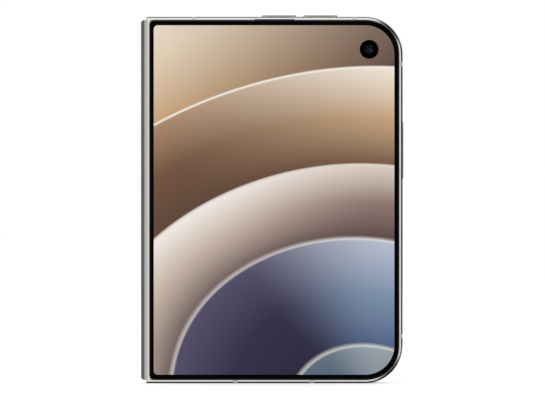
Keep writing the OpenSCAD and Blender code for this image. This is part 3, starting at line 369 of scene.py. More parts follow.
class Graph:
    """A node tree, with short calls for the nodes that the finishes and the studio below use."""

    def __init__(self, tree):
        self.tree = tree

    def add(self, kind, values=(), **settings):
        """A new node: settings are its properties, and values go into its sockets by name or number."""
        made = self.tree.nodes.new(kind)
        for key, value in settings.items():
            setattr(made, key, value)
        for socket, value in dict(values).items():
            self.put(made.inputs[socket], value)
        return made

    def put(self, socket, value):
        """Links another node's output into a socket, or sets its constant."""
        if isinstance(value, bpy.types.NodeSocket):
            self.tree.links.new(value, socket)
        else:
            socket.default_value = value

    def math(self, operation, a, b=0.0, c=0.0, clamp=False):
        """One step of arithmetic on two or three values."""
        values = {0: a, 1: b, 2: c}
        return self.add("ShaderNodeMath", values, operation=operation, use_clamp=clamp).outputs[0]

    def product(self, first, *others):
        """All the values multiplied together."""
        for other in others:
            first = self.math("MULTIPLY", first, other)
        return first

    def length(self, dx, dy):
        """The square root of dx squared plus dy squared."""
        squared = self.math("ADD", self.product(dx, dx), self.product(dy, dy))
        return self.math("SQRT", squared)

    def ramp(self, value, stops):
        """A colour ramp through stops of (place, colour)."""
        made = self.add("ShaderNodeValToRGB", {"Fac": value})
        elements = made.color_ramp.elements
        while len(elements) < len(stops):
            elements.new(0.5)
        for element, (place, colour) in zip(elements, stops):
            element.position = place
            element.color = colour
        return made.outputs["Color"]

    def mix(self, share, a, b):
        """Colour a where the share is 0 and colour b where it is 1."""
        made = self.add("ShaderNodeMix", data_type="RGBA")
        self.put(made.inputs[0], share)
        self.put(made.inputs[6], a)
        self.put(made.inputs[7], b)
        return made.outputs[2]

    def place(self):
        """Object coordinates in millimetres."""
        where = self.add("ShaderNodeTexCoord").outputs["Object"]
        return self.add("ShaderNodeMapping", {"Vector": where, "Scale": (1000, 1000, 1000)}).outputs[0]

    def leaf_place(self):
        """Place in a leaf's plan, in millimetres: across from the fold line, and up."""
        at = self.add("ShaderNodeSeparateXYZ", {0: self.place()}).outputs
        return self.math("SUBTRACT", at[0], FOLD_X), at[2]

    def away(self, x, y):
        """Distance in a leaf's plan from the point (x, y), in millimetres."""
        across, up = self.leaf_place()
        return self.length(self.math("SUBTRACT", across, x), self.math("SUBTRACT", up, y))

    def noise(self, vector, scale, detail=3.0, roughness=0.55, stretch=(1, 1, 1)):
        """Noise whose grain is drawn out along an axis by a stretch below 1."""
        vector = self.add("ShaderNodeMapping", {"Vector": vector, "Scale": stretch}).outputs[0]
        values = {"Vector": vector, "Scale": scale, "Detail": detail, "Roughness": roughness}
        return self.add("ShaderNodeTexNoise", values).outputs["Fac"]

    def spread(self, value, low, high):
        """Maps 0.3 to 0.7, where noise mostly lies, onto low to high."""
        values = {"Value": value, "From Min": 0.3, "From Max": 0.7, "To Min": low, "To Max": high}
        return self.add("ShaderNodeMapRange", values).outputs[0]

    def smooth(self, value, low, high):
        """0 below low and 1 above high, or the reverse when low is the larger."""
        values = {"Value": value, "From Min": low, "From Max": high}
        return self.add("ShaderNodeMapRange", values, interpolation_type="SMOOTHSTEP").outputs[0]

    def bump(self, height, strength, distance, over=None):
        """A normal tilted by a height, on top of another normal where one is given."""
        made = self.add("ShaderNodeBump", {"Height": height, "Strength": strength, "Distance": distance})
        if over is not None:
            self.put(made.inputs["Normal"], over)
        return made.outputs[0]

    def rounded_distance(self, x, y, box, corners):
        """The signed distance to a rounded rectangle, below 0 inside, with one corner radius left of
        the middle and another right of it: with q = |p - centre| - half the size + radius, it is the
        length of the positive part of q, plus its larger part where both are negative, minus the
        radius."""
        x0, x1, y0, y1 = box
        left_r, right_r = corners
        dx = self.math("SUBTRACT", x, (x0 + x1) / 2)
        dy = self.math("SUBTRACT", y, (y0 + y1) / 2)
        right_side = self.math("GREATER_THAN", dx, 0.0)
        radius = self.math("ADD", self.product(right_side, right_r - left_r), left_r)
        qx = self.math("ADD", self.math("SUBTRACT", self.math("ABSOLUTE", dx), (x1 - x0) / 2), radius)
        qy = self.math("ADD", self.math("SUBTRACT", self.math("ABSOLUTE", dy), (y1 - y0) / 2), radius)
        outside = self.length(self.math("MAXIMUM", qx, 0.0), self.math("MAXIMUM", qy, 0.0))
        inner = self.math("MINIMUM", self.math("MAXIMUM", qx, qy), 0.0)
        return self.math("SUBTRACT", self.math("ADD", outside, inner), radius)

    def inside_rounded(self, x, y, box, corners):
        """1 inside a rounded rectangle and 0 outside, with a soft step 1/12 mm wide."""
        distance = self.rounded_distance(x, y, box, corners)
        return self.math("MULTIPLY_ADD", distance, -12.0, 0.5, clamp=True)


def finish(name, build=None, **constants):
    """A Principled material: build(graph) returns its linked sockets, constants are set as they are."""
    material = bpy.data.materials.new(name)
    material.use_nodes = True
    graph = Graph(material.node_tree)
    shader = material.node_tree.nodes["Principled BSDF"]
    for key, value in constants.items():
        shader.inputs[key.replace("_", " ")].default_value = value
    for key, value in (build(graph) if build else {}).items():
        graph.put(shader.inputs[key], value)
    return material


LIP_BAND = (-1.3, -0.5)         # from the leaf's outline, in mm: where its flat rim leans


def metal(name, colour, rough, brushed=(1, 1, 1), grain=0.02, lean=0.0):
    """Polished or brushed metal: a slight change of tone, smears of roughness, and fine brushing. A
    lean above 0 tilts the leaf's flat rim outward by that slope, as a polishing wheel leaves it."""
    def build(g):
        at = g.place()
        tone_share = g.spread(g.noise(at, 0.06, 2), 0.0, 0.35)
        dark = (*[c * 0.86 for c in colour[:3]], 1)
        normal = g.bump(g.noise(at, 5.0, 4, 0.7, brushed), grain, 0.00002)
        if lean:
            to_edge = g.rounded_distance(*g.leaf_place(), LEAF_PLAN, (SEAM_CORNER, CORNER))
            across_lip = g.math("MAXIMUM", g.math("MINIMUM", to_edge, LIP_BAND[1]), LIP_BAND[0])
            normal = g.bump(across_lip, 1.0, -lean * MM, normal)
        return {"Base Color": g.mix(tone_share, colour, dark),
                "Roughness": g.spread(g.noise(at, 0.25, 3), rough * 0.85, rough * 1.2),
                "Normal": normal}
    return finish(name, build, Metallic=1.0)


def plastic(name, colour, rough, speckle=0.1):
    """Moulded plastic: fine matt grain in its height and a trace of change in its tone."""
    def build(g):
        at = g.place()
        light = (*[min(1, c * 1.25 + 0.002) for c in colour[:3]], 1)
        return {"Base Color": g.mix(g.spread(g.noise(at, 1.5, 4), 0, 0.5), colour, light),
                "Roughness": g.spread(g.noise(at, 0.8, 3), rough * 0.9, rough * 1.1),
                "Normal": g.bump(g.noise(at, 18, 2), speckle, 0.00001)}
    return finish(name, build)


# Arcs of soft colour round one centre, each lit along its rim: (reach in mm, the colours in the arc at
# its left end, and those at its right end)
ARCS = [
    (27, [(58, 74, 92), (92, 108, 124)],
         [(92, 108, 124), (150, 160, 168)]),
    (62, [(46, 41, 62), (54, 49, 74), (84, 78, 104)],
         [(80, 98, 132), (124, 144, 170), (182, 188, 204)]),
    (86, [(112, 94, 90), (196, 178, 166), (240, 232, 224)],
         [(92, 72, 70), (138, 116, 110), (214, 200, 190)]),
    (118, [(96, 70, 56), (112, 84, 66), (168, 134, 104)],
          [(118, 88, 68), (200, 168, 132), (244, 233, 218)]),
    (160, [(196, 162, 124), (230, 212, 188), (243, 236, 227)],
          [(82, 66, 64), (108, 84, 74), (156, 128, 108)]),
]
ARCS_END = ARCS[-1][0]
COVER_ARCS = ((72, -14), 1.0)   # centre, from the fold line and the bottom edge, and scale
INNER_ARCS = ((52, -20), 1.35)
RIM_LIGHT = tone(244, 240, 232)
RIM_LINE = 0.5                  # mm
WAVE_HEIGHT = 5.0               # mm
WAVE_RATE = 0.035               # radians for each mm up
SQUEEZE = 0.92                  # of the arcs, across
TURN_OF_COLOUR = (0.44, 0.7)    # bearings, as shares of half a turn, between which the rows mix


def arc_row(row):
    """One row of arcs as the stops of a colour ramp, with a line of light at the end of each arc."""
    stops, start, line = [], 0.0, RIM_LINE / ARCS_END
    for arc in ARCS:
        end = arc[0] / ARCS_END
        places = np.linspace(start, end - 2 * line, len(arc[row]))
        stops += [(p, tone(*c)) for p, c in zip(places, arc[row])]
        if end < 1:
            stops.append((end - line, RIM_LIGHT))
        start = end
    return stops


def arc_picture(g, across, up, centre, scale):
    """The picture on the displays: the distance from a centre below the edge picks the colour out of
    two rows of arcs, the bearing from it mixes the rows, and a slow wave bends both."""
    wave = g.product(g.math("SINE", g.product(up, WAVE_RATE / scale)), WAVE_HEIGHT * scale)
    dx = g.product(g.math("ADD", g.math("SUBTRACT", across, centre[0]), wave), SQUEEZE)
    dy = g.math("SUBTRACT", up, centre[1])
    reach = g.math("DIVIDE", g.length(dx, dy), ARCS_END * scale)
    bearing = g.math("DIVIDE", g.math("ARCTAN2", dy, dx), math.pi)
    left, right = g.ramp(reach, arc_row(1)), g.ramp(reach, arc_row(2))
    return g.mix(g.smooth(bearing, *TURN_OF_COLOUR), right, left)


BLACK = grey(0.001)
DEEP_BLACK = (0.0006, 0.0006, 0.0009, 1)
UV_SPAN = 200.0                 # mm of unfolded display for each unit of its UV map
FOLD_HOLLOW = 5.0               # mm: the width in the formula of the fold's hollow


def cover_screen_finish():
    """The cover display: the lit picture inside a black border."""
    def build(g):
        across, up = g.leaf_place()
        picture = arc_picture(g, across, up, *COVER_ARCS)
        lit = g.inside_rounded(across, up, LIT_AREA, LIT_CORNERS)
        return {"Emission Color": g.mix(lit, grey(0), picture)}
    return finish("cover_screen", build, Base_Color=BLACK, Roughness=0.02, Emission_Strength=1.0,
                  Specular_IOR_Level=0.12)


def inner_screen_finish():
    """The folding display under its soft clear film: the picture runs on over the fold, where the film
    keeps a shallow hollow exp(-(x / width)^2), and leaves a black disc for the inner camera."""
    def build(g):
        uv = g.add("ShaderNodeSeparateXYZ", {0: g.add("ShaderNodeUVMap", uv_map="unfolded").outputs[0]})
        across, up = g.product(uv.outputs[0], UV_SPAN), g.product(uv.outputs[1], UV_SPAN)
        picture = arc_picture(g, across, up, *INNER_ARCS)
        half_width = PIVOT + FREE_EDGE - INNER_BORDER
        area = (-half_width, half_width, INNER_BORDER, LEAF_HEIGHT - INNER_BORDER)
        lit = g.inside_rounded(across, up, area, (CORNER - INNER_BORDER, CORNER - INNER_BORDER))
        from_camera = g.length(g.math("SUBTRACT", across, INNER_CAMERA_X + PIVOT),
                               g.math("SUBTRACT", up, INNER_CAMERA_Y))
        lit = g.product(lit, g.smooth(from_camera, INNER_DISC - 0.05, INNER_DISC + 0.05))
        from_fold = g.math("DIVIDE", across, FOLD_HOLLOW)
        hollow = g.math("EXPONENT", g.product(from_fold, from_fold, -1.0))
        return {"Base Color": g.mix(g.product(lit, 0.5), BLACK, picture),
                "Emission Color": g.mix(lit, BLACK, picture),
                "Normal": g.bump(hollow, 0.6, -0.0004)}
    return finish("inner_screen", build, Roughness=0.35, Emission_Strength=0.5, Specular_IOR_Level=0.25,
                  Coat_Weight=0.5, Coat_Roughness=0.04)


def board_build(g):
    """A circuit board: green mask with a grid of copper traces showing paler through it."""
    cells = {"Vector": g.place(), "Color1": grey(0), "Color2": grey(0.15), "Mortar": grey(1),
             "Scale": 1.3, "Mortar Size": 0.03, "Brick Width": 0.9, "Row Height": 0.6}
    traces = g.add("ShaderNodeTexBrick", cells).outputs["Color"]
    return {"Base Color": g.mix(traces, tone(20, 62, 42), tone(58, 112, 74)),
            "Normal": g.bump(traces, 0.3, 0.00003)}


def back_build(g):
    """Satin glass: an even pearl tone with the faintest cloud, etched to a fine grain."""
    at = g.place()
    cloud = g.spread(g.noise(at, 0.03, 2), 0, 0.6)
    return {"Base Color": g.mix(cloud, tone(214, 210, 202), tone(204, 200, 191)),
            "Normal": g.bump(g.noise(at, 30, 2), 0.06, 0.000004)}


def mesh_build(g):
    """A woven grille: round holes in a fine square grid."""
    cells = {"Vector": g.place(), "Scale": 2.6, "Randomness": 0.0}
    from_hole = g.add("ShaderNodeTexVoronoi", cells, feature="F1").outputs["Distance"]
    stops = [(0.0, grey(0.004)), (0.34, grey(0.01)), (0.4, tone(120, 118, 114))]
    return {"Base Color": g.ramp(from_hole, stops)}


SILVER = tone(230, 228, 222)
polished = metal("polished_frame", SILVER, 0.14)
polished_rim = metal("polished_rim", SILVER, 0.14, lean=0.09)
spine_metal = metal("spine_metal", tone(214, 210, 202), 0.1, (1, 1, 0.03), 0.05)
# painted shade: the buttons' metal is a darker copy of the frame's, for the frame's shadow on their sides
shaded_button_metal = metal("shaded_button_metal", tone(182, 178, 170), 0.16)
steel = metal("brushed_steel", tone(190, 190, 188), 0.34, (0.1, 1, 1), 0.12)
brass = metal("gear_brass", tone(214, 178, 104), 0.3, (1, 1, 1), 0.05)
copper = metal("copper_coil", tone(196, 118, 78), 0.38, (1, 1, 1), 0.2)
dark_metal = metal("dark_ring", tone(120, 117, 112), 0.22)
break_plastic = plastic("antenna_break", tone(186, 183, 175), 0.42)
black_plastic = plastic("black_plastic", tone(22, 22, 23), 0.5)
bezel_rubber = plastic("bezel_rubber", tone(16, 16, 17), 0.62, 0.15)
battery_wrap = plastic("battery_wrap", tone(44, 44, 47), 0.5)
barrel_black = plastic("barrel_black", tone(14, 14, 15), 0.32, 0.02)
ferrite = plastic("ferrite", tone(38, 36, 35), 0.7, 0.2)
board_green = finish("board_green", board_build, Roughness=0.4, Coat_Weight=0.3)
grille = finish("fine_grille", mesh_build, Metallic=0.6, Roughness=0.4)
ink = finish("black_ink", Base_Color=(0.0006, 0.0006, 0.0008, 1), Roughness=0.6, Specular_IOR_Level=0.0)
back_satin = finish("back_satin_glass", back_build, Roughness=0.3, Coat_Weight=0.35, Coat_Roughness=0.22)
black_glass = finish("black_glass_edge", Base_Color=DEEP_BLACK, Roughness=0.03, Specular_IOR_Level=0.2,
                     Specular_Tint=(0.75, 0.85, 1.0, 1))
black_border = finish("black_glass_border", Base_Color=DEEP_BLACK, Roughness=0.03, Specular_IOR_Level=0.06)
clear_glass = finish("clear_glass", Base_Color=grey(1), Roughness=0.0, Transmission_Weight=1.0, IOR=1.1)
# the screen mirrors the room for the sheet that lies on it, which only lets light through
clear_cover = finish("clear_cover_glass", Base_Color=grey(1), Roughness=0.0, Transmission_Weight=1.0,
                     IOR=1.001)


def lens_with_painted_rings(name, x, y, radius, painted_ring_colour, edge, middle=BLACK, shine=0.35):
    """Coated glass over a dark iris: rings of depth that are painted reflections off the inner elements, a
    painted middle where one is given, and a sheen that a thin coating colours.
    """
    def build(g):
        reach = g.math("DIVIDE", g.away(x, y), radius)
        # painted reflections: the middle, the tint ring and the edge ring stand in for light off the inner
        # elements
        rings = [(0.0, middle), (0.1, middle), (0.2, BLACK), (0.3, painted_ring_colour), (0.42, BLACK), (0.62, BLACK),
                 (0.68, edge), (0.78, BLACK), (1.0, BLACK)]
        return {"Base Color": g.ramp(reach, rings)}
    return finish(name, build, Roughness=0.05, Specular_IOR_Level=shine, Thin_Film_Thickness=260.0,
                  Thin_Film_IOR=1.38)


def painted_glow_lens_finish(x, y, radius):
    """The lens deep under the cover glass, all painted light: it glows with a dark blue pupil of its own
    instead of being lit, so that it stays even, with a painted bronze glint in the middle and a small
    painted blue reflection beside it."""
    def build(g):
        # painted glow: the pupil's dark blue and its bronze middle glint are emitted, not lit
        depth = g.ramp(g.math("DIVIDE", g.away(x, y), radius), [
            (0.0, tone(46, 36, 26)), (0.1, tone(42, 33, 25)), (0.22, tone(22, 22, 29)),
            (0.84, tone(20, 19, 26)), (0.95, grey(0))])
        # painted highlight: a small blue reflection beside the middle
        painted_reflex = g.smooth(g.away(x + 0.55, y - 0.45), 0.5, 0.15)
        return {"Emission Color": g.mix(painted_reflex, depth, tone(50, 54, 84))}
    return finish("painted_glow_lens", build, Base_Color=grey(0), Specular_IOR_Level=0.0, Emission_Strength=1.0)


def flash_finish(x, y):
    """The flash: a pale Fresnel lens over two yellow emitters, 0.9 by 1.1 mm each."""
    def build(g):
        across, up = g.leaf_place()
        from_middle = g.math("ABSOLUTE", g.math("SUBTRACT", across, x))
        dx = g.math("ABSOLUTE", g.math("SUBTRACT", from_middle, 0.62))
        dy = g.math("ABSOLUTE", g.math("SUBTRACT", up, y))
        inside = g.product(g.math("LESS_THAN", dx, 0.45), g.math("LESS_THAN", dy, 0.55))
        return {"Base Color": g.mix(inside, tone(236, 232, 218), tone(228, 206, 110))}
    return finish("flash_lens", build, Roughness=0.12, Coat_Weight=1.0)


# ---------- the construction's own pieces ----------

FINISHES = {
    polished_rim: ["front_frame", "rear_frame"],
    polished: ["camera_island", "sim_tray", "usb_c_port"],
    # the buttons take the metal darkened with painted shade
    shaded_button_metal: ["power_button", "volume_up_button", "volume_down_button"],
    spine_metal: ["hinge_cover"],
    steel: ["front_support_plate", "rear_support_plate", "front_hinge_arms", "rear_hinge_arms",
            "front_hinge_screws", "rear_hinge_screws", "hinge_blocks", "hinge_centre_plate", "gear_shafts",
            "hinge_block_screws", "front_wing_plate", "rear_wing_plate", "board_shields",
            "front_board_shields", "haptic_motor", "front_magnets", "rear_magnets"],
    brass: ["front_outer_gear", "front_idler_gear", "rear_idler_gear", "rear_outer_gear", "button_switches"],
    break_plastic: ["front_antenna_breaks", "rear_antenna_breaks"],
    black_plastic: ["cover_camera_module", "earpiece_speaker", "loudspeaker", "usb_c_tongue", "back_seal",
                    "inner_camera", "front_connectors", "board_connectors"],
    ink: ["cover_seal"],
    bezel_rubber: ["inner_bezel_front", "inner_bezel_rear"],
    board_green: ["front_board", "main_board"],
    battery_wrap: ["front_battery", "rear_battery"],
    grille: ["earpiece_mesh", "speaker_mesh"],
}
# rounded edges, in millimetres
EDGES = {
    0.08: ["power_button", "volume_up_button", "volume_down_button", "sim_tray"],
    0.35: ["front_battery", "rear_battery", "haptic_motor"],
    0.15: ["board_shields", "front_board_shields", "front_connectors", "board_connectors"],
}


def construction_pieces():
    """Finishes the construction's own pieces, and rounds the sharp edges of some."""
    for material, names in FINISHES.items():
        for name in names:
            wear(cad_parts[name], material)
            smooth_by_angle(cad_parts[name])
    for width, names in EDGES.items():
        for name in names:
            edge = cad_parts[name].modifiers.new("edge", "BEVEL")
            edge.width = width * MM
            edge.segments = 3
            edge.limit_method = "ANGLE"


# ---------- glass ----------

def glass_edge():
    """The rounded outer edge of a glass sheet: a quarter ellipse GLASS_ROUND into the face and
    GLASS_DROP down the side, then straight down to a small chamfer at the seat."""
    rings = []
    for a in np.linspace(0, np.pi / 2, 9):
        inward = GLASS_ROUND * (1 - np.sin(a))
        rings.append(leaf_ring(GLASS_INSET + inward, GLASS_LEFT + inward, max(GLASS_CORNER - inward, 0.3),
                               OUTER_FACE - GLASS_DROP * (1 - np.cos(a))))
    rings.append(leaf_ring(GLASS_INSET, GLASS_LEFT, GLASS_CORNER, GLASS_SEAT + SEAT_CHAMFER))
    rings.append(leaf_ring(GLASS_INSET + SEAT_CHAMFER, GLASS_LEFT + SEAT_CHAMFER,
                           GLASS_CORNER - SEAT_CHAMFER, GLASS_SEAT))
    return rings


def cover_glass():
    """The cover glass: clear over the display, black from the lit area outward and over the edge."""
    rings = [rounded(*LIT_AREA, *LIT_CORNERS, OUTER_FACE), *glass_edge(), leaf_ring(*COVER_BACK, GLASS_SEAT)]
    sheet = plate("cover_glass_sheet", rings, -1)
    dressed(sheet, clear_cover, "front_leaf", "cover_glass", "cover_glass")
    sheet.data.materials.append(black_glass)
    sheet.data.materials.append(black_border)
    clear, edge, border = 0, 1, 2
    band = np.arange(len(sheet.data.polygons)) // len(rings[0])
    index = np.where(band < 1, border, np.where(band < len(rings) - 2, edge, clear)).astype(np.int32)
    index[-2:] = clear
    sheet.data.polygons.foreach_set("material_index", index)


def cover_screen():
    """The display panel under the cover glass, the black ink round it and round the camera's hole."""
    hole = (CAMERA_X, CAMERA_Y)
    rings = [circle(*hole, CAMERA_HOLE, PANEL_SEAT), circle(*hole, CAMERA_HOLE, PANEL_FACE),
             leaf_ring(*PANEL_OUTLINE, PANEL_FACE), leaf_ring(*PANEL_OUTLINE, PANEL_SEAT)]
    panel = loft("cover_screen_panel", rings, hole, -1)
    dressed(panel, cover_screen_finish(), "front_leaf", "display", "cover_display_panel")
    lit = (BORDER_SIDE - 0.05, BORDER_SEAM - 0.03, LIT_CORNERS[0])
    edge = (GLASS_INSET + 0.02, GLASS_LEFT + 0.02, GLASS_CORNER - 0.05)
    rings = [leaf_ring(*lit, INK_LOW), leaf_ring(*lit, INK_TOP),
             leaf_ring(*edge, INK_TOP), leaf_ring(*edge, INK_LOW)]
    border = loft("cover_ink_border", rings, INK_CENTRE, -1)
    dressed(border, ink, "front_leaf", "seal")
    section = [(IRIS_INNER, INK_LOW), (IRIS_INNER, INK_TOP), (IRIS_OUTER, INK_TOP), (IRIS_OUTER, INK_LOW)]
    iris = turned("cover_camera_iris", *hole, section, -1)
    dressed(iris, ink, "front_leaf", "seal")


def back_glass():
    """The back glass: its free edge rounds over as the cover glass does, and a small chamfer runs round
    the opening for the camera island."""
    def opening(grow, z):
        return rounded(ISLAND_LEFT - grow, ISLAND_RIGHT + grow, ISLAND_LOW - grow, ISLAND_TOP + grow,
                       ISLAND_CORNER + grow, ISLAND_CORNER + grow, z)
    rings = [opening(0.1, GLASS_SEAT), opening(0.1, OUTER_FACE - 0.06), opening(0.16, OUTER_FACE)]
    sheet = loft("back_glass_sheet", rings + glass_edge(), (ISLAND_X, ISLAND_Y), 1, smooth=25)
    dressed(sheet, back_satin, "rear_leaf", "back_glass", "back_glass")


# ---------- rear cameras ----------

def window_profile(radius, chamfer):
    """Profile of a flat window in the island, with a chamfered upper edge."""
    low = ISLAND_FACE - WINDOW_DEPTH
    return [(0, low), (radius - 0.05, low), (radius, low + 0.05), (radius, ISLAND_FACE - chamfer),
            (radius - chamfer, ISLAND_FACE), (0, ISLAND_FACE)]


def ring_profile():
    """Profile of a camera ring: an upright wall, a rounded shoulder, a narrow flat top, and a wide slope
    down to the window."""
    top = ISLAND_FACE + RING_RISE
    return [(RING_INNER, ISLAND_FACE), (RING_OUTER, ISLAND_FACE), (RING_OUTER, top - 0.16),
            (RING_OUTER - 0.04, top - 0.06), (RING_OUTER - 0.12, top - 0.01), (RING_OUTER - 0.22, top),
            (RING_INNER + 0.42, top), (RING_INNER + 0.3, top - 0.03), (RING_INNER, ISLAND_FACE + 0.15)]


def zigzag(radii, lean, levels):
    """Profile points in pairs: each radius, then the same radius less a small lean, at the levels."""
    pairs = np.repeat(radii, 2)
    pairs[1::2] -= lean
    return np.stack([pairs, levels], -1)


def stepped_barrel(outer, top, bottom, throat, steps):
    """Profile of a lens barrel: a flat lip, then a funnel down to the throat, whose steps are even in
    radius and in height."""
    radii = np.linspace(outer * 0.84, throat, steps + 1)
    levels = np.linspace(top, bottom, steps + 1)
    lip = [(outer, bottom - 0.6), (outer, top - 0.1), (outer - 0.1, top)]
    funnel = zigzag(radii[:-1], 0.02, np.repeat(levels, 2)[1:-1])
    return np.concatenate([lip, funnel, [(throat, bottom), (throat, bottom - 0.6)]])


def cap(radius, base, rise, rings=12, edge=0.25):
    """Profile of a lens: a cap radius * cos(a), rise * sin(a) from a base, on a short edge that is
    closed below."""
    a = np.linspace(0, np.pi / 2, rings)[:-1]
    curve = np.stack([radius * np.cos(a), base + rise * np.sin(a)], -1)
    return np.concatenate([[(0, base - edge), (radius, base - edge)], curve, [(0, base + rise)]])


def rear_camera(place, x, painted_ring_colour, edge):
    """One of the two large cameras: ring, window, black mask, barrel and its front lens."""
    y = ISLAND_Y
    ring = turned(f"camera_ring_{place}", x, y, ring_profile(), 1, 120)
    dressed(ring, dark_metal, "rear_leaf", "frame_metal", "camera_rings")
    window = turned(f"camera_window_{place}", x, y, window_profile(WINDOW, 0.04), 1)
    dressed(window, clear_glass, "rear_leaf", "lens", "camera_windows")
    section = [(MASK_INNER, MASK_LOW), (MASK_INNER, MASK_TOP),
               (MASK_OUTER, MASK_TOP), (MASK_OUTER, MASK_LOW)]
    mask = turned(f"camera_mask_{place}", x, y, section, 1)
    dressed(mask, ink, "rear_leaf", "seal")
    barrel = turned(f"camera_barrel_{place}", x, y, stepped_barrel(*LARGE_BARREL), 1, 96, 20)
    dressed(barrel, barrel_black, "rear_leaf", "dark_plastic", "camera_modules")
    lens = turned(f"camera_lens_{place}", x, y, cap(*LARGE_LENS), 1)
    dressed(lens, lens_with_painted_rings(f"lens_{place}", x, y, LARGE_LENS[0], painted_ring_colour, edge), "rear_leaf", "lens")


def small_camera(x, y):
    """The small camera: window, barrel and lens."""
    window = turned("small_window", x, y, window_profile(SMALL_WINDOW, 0.03), 1)
    dressed(window, clear_glass, "rear_leaf", "lens", "camera_windows")
    barrel = turned("small_barrel", x, y, stepped_barrel(*SMALL_BARREL), 1, 64, 20)
    dressed(barrel, barrel_black, "rear_leaf", "dark_plastic", "camera_modules")
    lens = turned("small_lens", x, y, cap(*SMALL_LENS), 1)
    # the two colours are painted reflections: an inner ring and an edge ring
    coating = lens_with_painted_rings("lens_small", x, y, SMALL_LENS[0], (0.03, 0.01, 0.03, 1), (0.01, 0.01, 0.03, 1))
    dressed(lens, coating, "rear_leaf", "lens")


def flash(x, y):
    """The flash's Fresnel lens: a disc whose face has even round grooves, each with one steep side."""
    disc = [(0, ISLAND_FACE - 0.9), (FLASH, ISLAND_FACE - 0.9), (FLASH, ISLAND_FACE)]
    radii = np.arange(FLASH - 0.1, 0.5, -GROOVE)
    grooves = zigzag(radii, 0.02, np.tile([ISLAND_FACE - 0.01, ISLAND_FACE - 0.07], len(radii)))
    profile = np.concatenate([disc, grooves, [(0, ISLAND_FACE - 0.04)]])
    lens = turned("flash_lens", x, y, profile, 1, 72, 15)
    dressed(lens, flash_finish(x, y), "rear_leaf", "white_window", "flash_window")


def rear_cameras():
    """What the camera island holds."""
    # each lens's two colours are painted reflections: an inner ring and an edge ring
    rear_camera("left", LENS_X[0], (0.02, 0.035, 0.12, 1), (0.05, 0.02, 0.09, 1))
    rear_camera("right", LENS_X[1], (0.012, 0.05, 0.06, 1), (0.03, 0.03, 0.1, 1))
    small_camera(ISLAND_X, ISLAND_Y - SMALL_OFFSET)
    flash(ISLAND_X, ISLAND_Y + SMALL_OFFSET)


# ---------- folding display ----------

def loop_curve(share_along, depth):
    """Section (x, z) of the closed loop at a layer `depth` inside the fold axis, the same point's place
    along the unfolded sheet, and the length of the run. The sheet turns by 90 degrees times
    3t^2 - 2t^3 at a share t of the run, while it moves on along the slope, so that turning it back lays
    it exactly flat."""
    t = np.asarray(share_along)
    turn = np.pi / 2 * t * t * (3 - 2 * t)
    c, s = np.cos(turn), np.sin(turn)
    ux, uz = -math.cos(LOOP_SLOPE), -math.sin(LOOP_SLOPE)
    run = (LOOP_END - LOOP_START) * ux - DISPLAY_FACE * uz
    offset = -LOOP_START * ux + (PIVOT - DISPLAY_FACE) * uz
    along = (t * run - offset - depth * (s * ux - c * uz)) / (c * ux + s * uz)
    return along * c + depth * s, PIVOT + along * s - depth * c, along, run


def display_columns():
    """The columns of half a display, from the free edge over the flat part and round the loop to the
    middle of the spine: for each of its two faces x, z and the place along the unfolded sheet, and for
    each column the height of its lower end. Round the corners that end follows a quarter circle."""
    right = FREE_EDGE - DISPLAY_INSET
    r = CORNER - DISPLAY_INSET
    round_part = right - r * (1 - np.sin(np.linspace(0, np.pi / 2, 20)))[::-1]
    flat = np.concatenate([round_part, np.linspace(right - r, LOOP_START, 12)[1:-1]])
    t = np.linspace(0, 1, 40)
    faces = []
    for z in (DISPLAY_FACE, DISPLAY_BACK):
        loop_x, loop_z, along, _ = loop_curve(t, PIVOT - z)
        faces.append((np.concatenate([flat, loop_x]), np.concatenate([np.full(len(flat), z), loop_z]),
                      np.concatenate([flat, along]) + PIVOT))
    past = np.clip(np.concatenate([flat, np.zeros(len(t))]) - (right - r), 0, r)
    low = DISPLAY_INSET + r - np.sqrt(np.maximum(r * r - past * past, 0))
    return faces, low


def display_half(name, side):
    """One half of the folding display: every column is a closed section of the sheet's two faces, and
    its UV map is the unfolded sheet."""
    layers, low = display_columns()
    rows = np.linspace(0, 1, 13)
    up = low[:, None] + (LEAF_HEIGHT - 2 * low)[:, None] * rows[None, :]
    sections, unfolded = [], []
    for (x, z, sheet), order in zip(layers, (1, -1)):
        x, z, sheet = (np.broadcast_to(v[:, None], up.shape) for v in (x, z, sheet))
        sections.append(np.stack([x, up, z], -1)[:, ::order])
        unfolded.append(np.stack([sheet, up], -1)[:, ::order])
    grid = np.concatenate(sections, 1)
    unfolded = np.concatenate(unfolded, 1).reshape(-1, 2)
    columns, count = grid.shape[:2]
    faces = ring_faces(columns, count)
    j = np.arange(count // 2 - 1)
    cap_faces = np.stack([j, count - 1 - j, count - 2 - j, j + 1], -1)
    faces += cap_faces.tolist() + ((columns - 1) * count + cap_faces[:, ::-1]).tolist()
    obj = mesh_object(name, stand(grid, side), faces)
    layer = obj.data.uv_layers.new(name="unfolded")
    corner = np.zeros(len(obj.data.loops), np.int32)
    obj.data.loops.foreach_get("vertex_index", corner)
    uv = unfolded[corner] * [side / UV_SPAN, 1 / UV_SPAN]
    layer.data.foreach_set("uv", uv.astype(np.float32).ravel())
    smooth_by_angle(obj, 40)
    return obj


def folding_display():
    """Both halves of the folding display, each one piece from its free edge round the loop to the middle of
    the spine.
    """
    screen = inner_screen_finish()
    for side, leaf in ((-1, "front"), (1, "rear")):
        half = display_half(f"inner_screen_{leaf}", side)
        wear(half, screen)
        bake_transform(half)
        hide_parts(f"inner_display_{leaf}", "inner_display_fold")


# ---------- front cameras and the coil ----------

